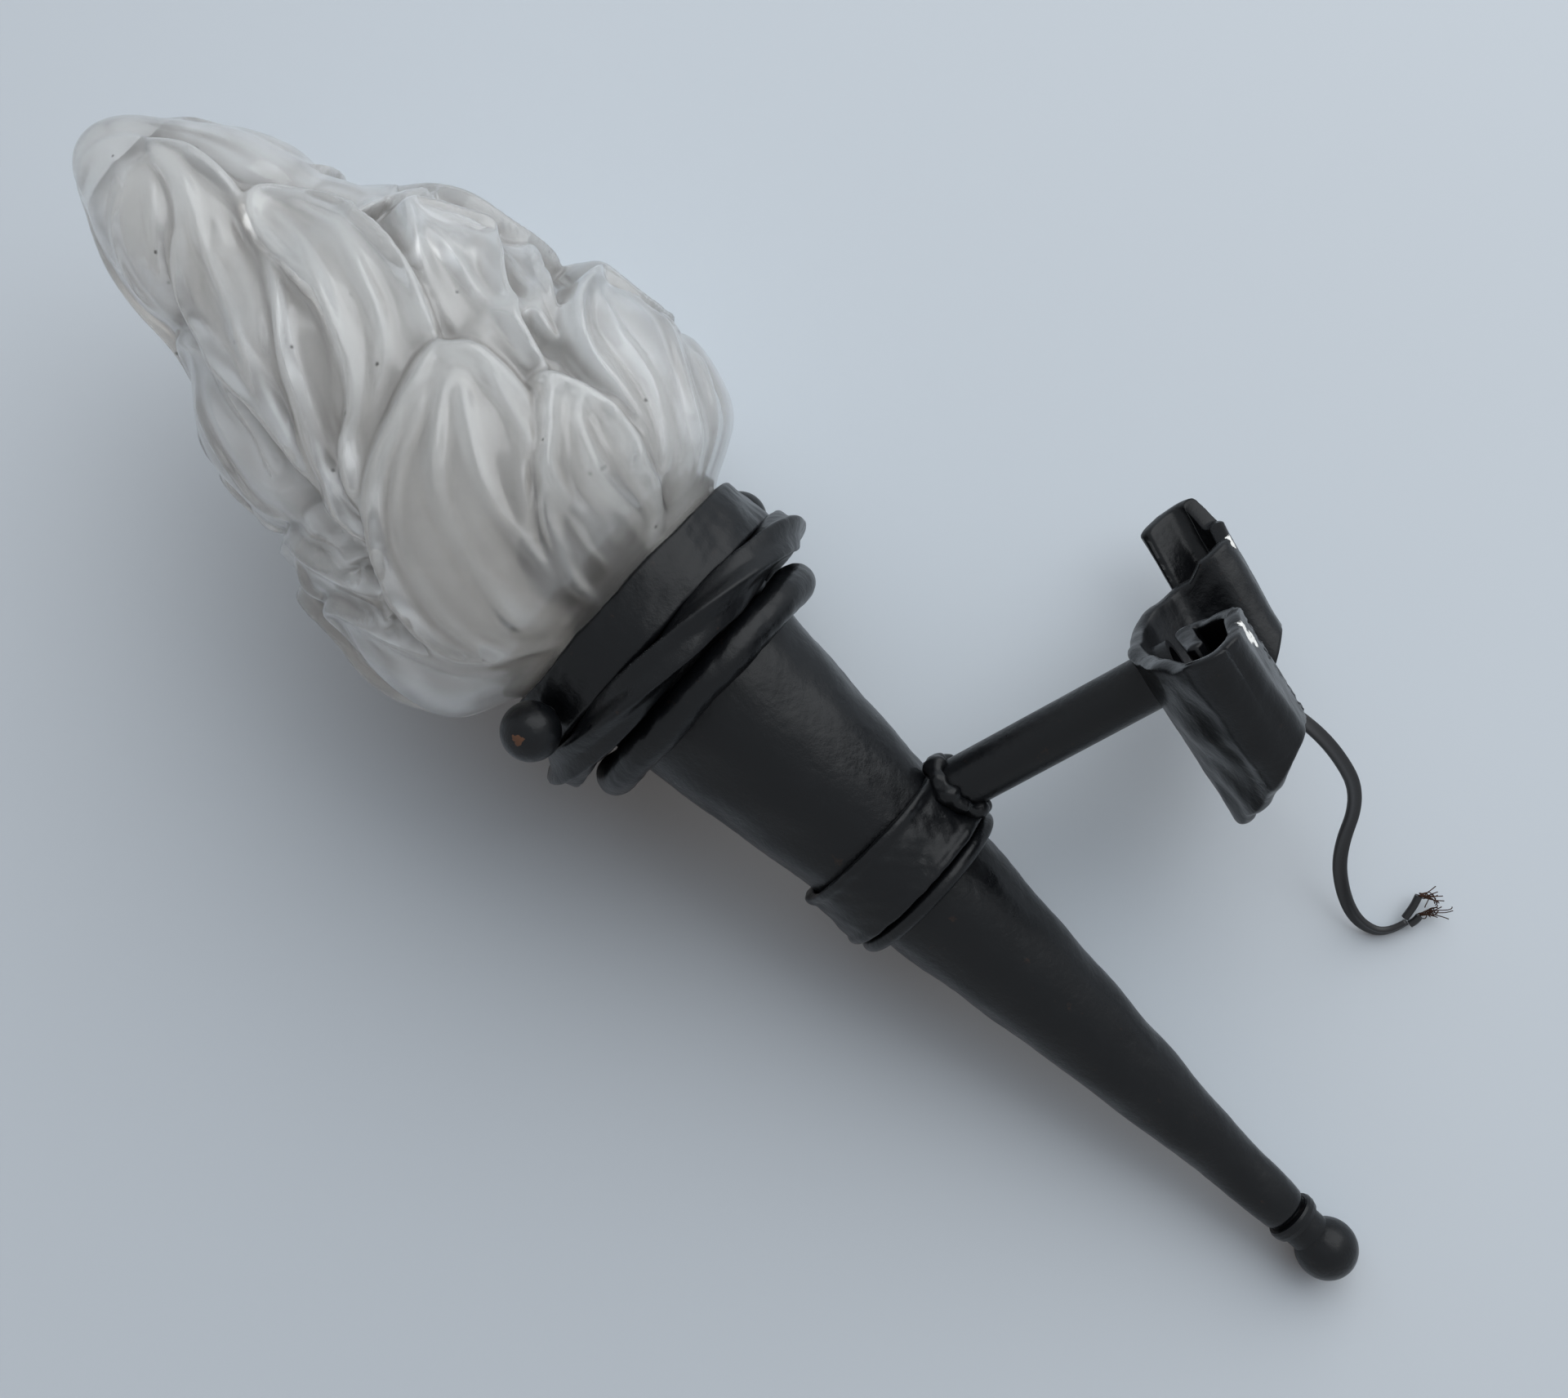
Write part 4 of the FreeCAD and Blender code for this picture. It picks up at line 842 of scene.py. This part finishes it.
def make_strap():
    """Forged strap: the rounded flat section carried along the folded plan. The plan at each level
    lies in proportion between the upper and the lower one, the faces stand half a thickness off it,
    swollen a sixth near the top edge, the cut ends close in a quarter circle, and marks are added."""
    slope = (1.0 - STRAP_TAPER) / (PLAN_LEVEL - STRAP_BOTTOM)
    upper, tops = strap_plan(1.0 + slope * (STRAP_CREST - PLAN_LEVEL))
    lower, _ = strap_plan(STRAP_TAPER)
    along = np.concatenate([[0.0], np.cumsum(np.linalg.norm(np.diff(upper, axis=0), axis=1))])
    tops = (tops + 0.5 * np.sin(along / 5.3) + 0.4 * np.sin(along / 2.9 + 1.0))[:, None]
    bottoms = strap_bottom(upper, lower, along)[:, None]
    side, level, bulge = strap_section()
    ends = np.minimum(along, along[-1] - along)
    close = np.sqrt(np.clip(1.0 - (1.0 - np.clip(ends / 2.0, 0.0, 1.0)) ** 2, 0.05, 1.0))[:, None]
    low, high = bottoms + EDGE_ROUND, tops - EDGE_ROUND
    height = low + (high - low) * level + EDGE_ROUND * bulge * close
    share = (height - STRAP_BOTTOM) / (STRAP_CREST - STRAP_BOTTOM)
    plan = lower[:, None] + (upper - lower)[:, None] * share[..., None]
    ahead = np.gradient(plan, axis=0)
    ahead /= np.linalg.norm(ahead, axis=2)[..., None]
    normal = np.stack([-ahead[..., 1], ahead[..., 0]], -1)
    swell = 1.0 + 0.16 * np.exp(-((tops - height) / 3.0) ** 2)
    swell += 0.08 * np.exp(-((height - bottoms) / 3.0) ** 2)
    offset = (STRAP_THICKNESS / 2.0 - 0.1) * side * close * swell
    points = np.concatenate([plan + normal * offset[..., None], height[..., None]], -1)
    points[..., 1] -= STRAP_THICKNESS / 2.0
    outward = np.concatenate([normal * np.sign(side)[:, None], np.zeros(height.shape + (1,))], -1)
    points = points + outward * strap_marks(points)[..., None]
    points[..., 1] = np.minimum(points[..., 1], -STRAP_WALL_GAP)
    points[..., 0] = np.clip(points[..., 0], *STRAP_SIDES)
    strap = grid_mesh("forged_strap", points * MM, closed_v=True, caps=True)
    spots = np.array(PLASTER_SPOTS)
    places = np.zeros(len(strap.data.vertices) * 3)
    strap.data.vertices.foreach_get("co", places)
    distance = np.linalg.norm(places.reshape(-1, 1, 3) / MM - spots[:, :3], axis=2) / spots[:, 3]
    set_attribute(strap, "plaster", np.clip(1.6 - distance.min(1), 0.0, 1.0))
    return strap


# ------------------------------------------------------------------ hammered iron round the torch
def worn_ring(name, corners, spacing, around, coarse, fine, seed):
    """Ring or sleeve turned round the torch's axis. Its section's corners, (radius, height), are
    joined by straight lines, set out evenly, rounded by averaging with their neighbours, and moved
    in and out by slow waves (coarse, mm) and quick ones (fine, mm), the hammer's and brush's marks."""
    outline = np.array(list(corners) + [corners[0]], float)
    loop, _ = spread_evenly(np.column_stack([outline, np.zeros(len(outline))]), spacing)
    loop = loop[:-1, :2]
    for _ in range(2):
        loop = (np.roll(loop, 1, 0) + 2.0 * loop + np.roll(loop, -1, 0)) / 4.0
    area = (loop[:, 0] * np.roll(loop[:, 1], -1) - np.roll(loop[:, 0], -1) * loop[:, 1]).sum()
    slope = np.roll(loop, -1, 0) - np.roll(loop, 1, 0)
    normal = np.stack([slope[:, 1], -slope[:, 0]], -1) * np.sign(area)
    normal /= np.linalg.norm(normal, axis=1)[:, None]
    angle = np.linspace(0.0, 2.0 * np.pi, around, endpoint=False)
    reach, tall = loop[:, :1], np.repeat(loop[:, 1:], around, axis=1)
    base = np.stack([reach * np.cos(angle), reach * np.sin(angle), tall], -1)
    lump = coarse * (waves(base, 26.0, seed) - 0.4) + fine * (waves(base, 6.0, seed + 1.0) - 0.4)
    reach = reach + normal[:, :1] * lump
    tall = tall + normal[:, 1:] * lump
    points = torch_to_row(reach * np.cos(angle), reach * np.sin(angle), tall)
    return grid_mesh(name, points.reshape(len(loop), around, 3), closed_u=True, closed_v=True)


def round_section(radius, height, bar):
    """Corners of a round bar's section: 28 points on a circle of radius bar."""
    turn = np.linspace(0.0, 2.0 * np.pi, 28, endpoint=False)
    return list(zip(radius + bar * np.cos(turn), height + bar * np.sin(turn)))


# Sections of the worn sleeves, as (radius, height) corners.
CONE_SECTION = [(8.0, 17.0), (9.7, 48.0), (36.0, 287.7), (34.0, 287.7), (7.7, 48.0), (6.0, 17.0)]
GALLERY_SECTION = [(45.0, 287.2), (49.2, 287.2), (50.0, 288.2), (50.0, 304.2), (49.2, 305.0),
                   (46.8, 305.0), (46.0, 304.2)]
BAND_SECTION = [(24.2, 177.1), (29.8, 177.1), (30.4, 177.9), (30.4, 179.8), (29.5, 181.0),
                (29.4, 188.0), (29.5, 195.0), (30.4, 196.2), (30.4, 198.3), (29.6, 199.0), (26.5, 199.0)]
# Pieces of worn iron: name, the node it stands for, section, spacing of its points, points round
# the torch, height of the slow and of the quick waves, and seed.
WORN_PIECES = [
    ("rolled_cone", "torch_cone", CONE_SECTION, 2.0, 132, 0.35, 0.07, 0.3),
    ("hammered_gallery", "gallery_band", GALLERY_SECTION, 0.55, 260, 0.5, 0.12, 1.1),
    ("hammered_band", "middle_band", BAND_SECTION, 0.6, 200, 0.45, 0.12, 2.3),
    ("round_bar_ring", "plain_ring", round_section(41.2, 268.3, 6.4), 1.0, 220, 0.6, 0.12, 0.9),
]

# The twisted ring: quarter turns of its square bar on its way round, the angle round the torch from
# which the twist is counted, the middle of the bar, and half the bar's width.
TWIST_QUARTERS = 7
TWIST_START = 97.0
TWIST_RADIUS, TWIST_HEIGHT = 50.0, 281.5
TWIST_HALF = 5.25


def make_twisted_ring():
    """Square bar with worn corners, twisted seven quarter turns on its way round the torch. Each point
    lies in a fixed direction from the bar's middle, at the distance of the rounded square's outline
    in that direction, less the square's turn at that angle round the torch."""
    angle, turn = np.meshgrid(np.linspace(0.0, 2.0 * np.pi, 320, endpoint=False),
                              np.linspace(0.0, 2.0 * np.pi, 88, endpoint=False), indexing="ij")
    own = turn - math.radians(-45.0) - (math.radians(TWIST_START) - angle) * (TWIST_QUARTERS / 4.0)
    size = TWIST_HALF * (np.abs(np.cos(own)) ** 12 + np.abs(np.sin(own)) ** 12) ** (-1.0 / 12.0)
    size *= 1.0 - 0.07 * np.cos(2.0 * own) ** 4
    middle = np.stack([TWIST_RADIUS * np.cos(angle) + 6.0 * np.cos(turn), TWIST_RADIUS * np.sin(angle),
                       TWIST_HEIGHT + 6.0 * np.sin(turn)], -1)
    size += 0.18 * waves(middle, 21.0, 3.1) + 0.07 * waves(middle, 6.0, 0.7)
    reach = TWIST_RADIUS + size * np.cos(turn)
    height = TWIST_HEIGHT + size * np.sin(turn)
    points = torch_to_row(reach * np.cos(angle), reach * np.sin(angle), height)
    return grid_mesh("twisted_bar_ring", points.reshape(*angle.shape, 3), closed_u=True, closed_v=True)


# The weld at the arm's root: radius of its ring round the arm, and of the band that it lies on.
WELD_RING, WELD_BAND = 9.6, 30.2


def make_root_weld():
    """Lumpy bead where the arm enters the middle band: a thick round cord laid along the line in
    which the arm meets the band, its thickness rising and falling like weld metal run by hand."""
    turn = np.linspace(0.0, 2.0 * np.pi, 120, endpoint=False)
    x, up = WELD_RING * np.cos(turn), WELD_RING * np.sin(turn)
    out = np.sqrt(WELD_BAND ** 2 - x ** 2) / math.cos(LEAN) - up * math.tan(LEAN) - WALL_REACH
    line = np.stack([x, out + 0.6, up], -1)[:, None]
    outwards = np.stack([np.cos(turn), np.zeros(120), np.sin(turn)], -1)[:, None]
    around = np.linspace(0.0, 2.0 * np.pi, 24, endpoint=False)[:, None]
    thick = (2.5 + 0.5 * np.sin(5.0 * turn + 1.0) + 0.35 * np.sin(11.0 * turn))[:, None, None]
    points = line + thick * (np.cos(around) * outwards + np.sin(around) * np.array([0.0, 1.25, 0.0]))
    points += 0.28 * waves(points, 4.0, 1.2)[..., None] * outwards
    return grid_mesh("root_weld_bead", points * MM, closed_u=True, closed_v=True)


# ------------------------------------------------------------------ floor and light
# Direction into the floor, how far below the middle of the finial ball it lies, and half its width,
# in metres.
FLOOR_WAY = (-0.951, -0.198, -0.238)
FLOOR_DROP = 0.0102
FLOOR_REACH = 6.0


def make_floor():
    """Plain pale floor that the torch lies on, seen from its upper side only."""
    away = np.array(FLOOR_WAY) / np.linalg.norm(FLOOR_WAY)
    ball = torch_to_row(np.array([0.0]), np.array([0.0]), np.array([0.0]))[0]
    side = np.cross(away, (0.0, 0.0, 1.0))
    side /= np.linalg.norm(side)
    up = np.cross(side, away)
    corners = [ball + away * FLOOR_DROP + (side * across + up * high) * FLOOR_REACH
               for across, high in ((-1, -1), (1, -1), (1, 1), (-1, 1))]
    floor = mesh_object("floor", corners, [[0, 1, 2, 3]], smooth=False)
    if floor.data.polygons[0].normal.dot(Vector(away)) > 0:
        floor.data.flip_normals()
    material, tree = new_material("pale_floor")
    shader = tree.nodes["Principled BSDF"]
    shader.inputs["Base Color"].default_value = srgb("c9ced2")
    shader.inputs["Roughness"].default_value = 0.9
    clear = add(tree, "BsdfTransparent")
    side_seen = add(tree, "NewGeometry")
    both = add(tree, "MixShader", [("Fac", side_seen, "Backfacing")])
    tree.links.new(shader.outputs["BSDF"], both.inputs[1])
    tree.links.new(clear.outputs["BSDF"], both.inputs[2])
    tree.links.new(both.outputs["Shader"], tree.nodes["Material Output"].inputs["Surface"])
    floor.data.materials.append(material)


# Direction of the sky's brightest part, the point that the lamp is turned to, and the lamp's way
# from there in metres.
SKY = tuple(Vector(CAMERA_UP) * 0.89 + Vector(CAMERA_RIGHT) * 0.38 + Vector(CAMERA_BACK) * 0.25)
LAMP_AIM = Vector((0.0, -0.13, 0.05))
LAMP_WAY = Vector(CAMERA_RIGHT) * 0.55 + Vector(CAMERA_UP) * 0.95 + Vector(CAMERA_BACK) * 0.85
LAMP_SIDE, LAMP_WATTS = 1.6, 12.0
SKY_STRENGTH = 2.25


def make_lights():
    """Soft daylight: a pale sky on one side over a dim warm ground, and one large lamp. What the
    camera sees of the world, itself, in gloss or through glass, is an even pale background."""
    world = bpy.data.worlds.new("daylight")
    world.use_nodes = True
    tree = world.node_tree
    place = add(tree, "TexCoord")
    height = add(tree, "VectorMath", [("Vector", place, "Generated")], operation="DOT_PRODUCT")
    height.inputs[1].default_value = SKY
    level = add(tree, "MapRange", [("Value", height, "Value")], From_Min=-1.0, From_Max=1.0)
    sky = set_ramp(add(tree, "ValToRGB", [("Fac", level, "Result")]),
                   [(0.0, "54473c"), (0.45, "3f3833"), (0.6, "45474b"), (0.72, "a3adb8"),
                    (0.85, "e2ebf4"), (1.0, "f8fbff")])
    tree.links.new(sky.outputs["Color"], tree.nodes["Background"].inputs["Color"])
    tree.nodes["Background"].inputs["Strength"].default_value = SKY_STRENGTH
    pale = add(tree, "Background", Color=srgb("c6ccd2"), Strength=1.0)
    seen = add(tree, "LightPath")
    mirrored = add(tree, "Math", [(0, seen, "Is Camera Ray"), (1, seen, "Is Glossy Ray")],
                   operation="MAXIMUM")
    through = add(tree, "Math", [(0, mirrored, "Value"), (1, seen, "Is Transmission Ray")],
                  operation="MAXIMUM")
    both = add(tree, "MixShader", [("Fac", through, "Value")])
    tree.links.new(tree.nodes["Background"].outputs["Background"], both.inputs[1])
    tree.links.new(pale.outputs["Background"], both.inputs[2])
    tree.links.new(both.outputs["Shader"], tree.nodes["World Output"].inputs["Surface"])
    bpy.context.scene.world = world
    lamp = bpy.data.lights.new("window", "AREA")
    lamp.shape = "RECTANGLE"
    lamp.size = LAMP_SIDE
    lamp.size_y = LAMP_SIDE
    lamp.energy = LAMP_WATTS
    lamp.color = (0.95, 0.98, 1.0)
    holder = bpy.data.objects.new("window", lamp)
    bpy.context.scene.collection.objects.link(holder)
    holder.location = LAMP_AIM + LAMP_WAY
    holder.rotation_euler = LAMP_WAY.to_track_quat("Z", "Y").to_euler()


# ------------------------------------------------------------------ build
SLOTS = {part["node"]: part["material_slot"] for part in frame["record"]["subparts"]}


def put_in_place(piece, node, finish):
    """Gives a new piece its finish, puts it on the frame, and hides the node that it stands in for."""
    piece.data.materials.append(finish)
    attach(piece, "frame")
    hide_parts(node)


make_camera()
paint = black_paint()
glass = frosted_glass()
copper = plain("dulled_copper_strand", "3a2216", 0.5, 0.6)
sheath = plain("extruded_flex_sheath", "1b1a1b", 0.42)
FINISHES = {
    "black_iron": paint,
    "weld": paint,
    "frosted_glass": glass,
    "bakelite": plain("moulded_phenolic", "17130f", 0.45),
    "brass": plain("drawn_brass", "b08d4a", 0.35, 1.0),
    "flex_sheath": sheath,
    "copper": copper,
}
for node, thing in NODES.items():
    thing.data.materials.clear()
    thing.data.materials.append(FINISHES[SLOTS[node]])
NODES["shade_screw_near"].data.materials[0] = chipped_ball_paint(paint)

fray = make_fray()
put_in_place(fray, "bare_strands", copper)

flex, flex_line, flex_length = make_flex()
put_in_place(flex, "supply_flex", sheath)

put_in_place(make_flame(), "flame_shade", glass)
for name, node, *shape in WORN_PIECES:
    put_in_place(worn_ring(name, *shape), node, paint)
put_in_place(make_twisted_ring(), "twisted_ring", paint)
put_in_place(make_root_weld(), "root_weld", paint)
put_in_place(make_strap(), "bracket_strap", chipped_paint(paint))

make_floor()
make_lights()
bpy.context.scene.view_settings.view_transform = "Standard"
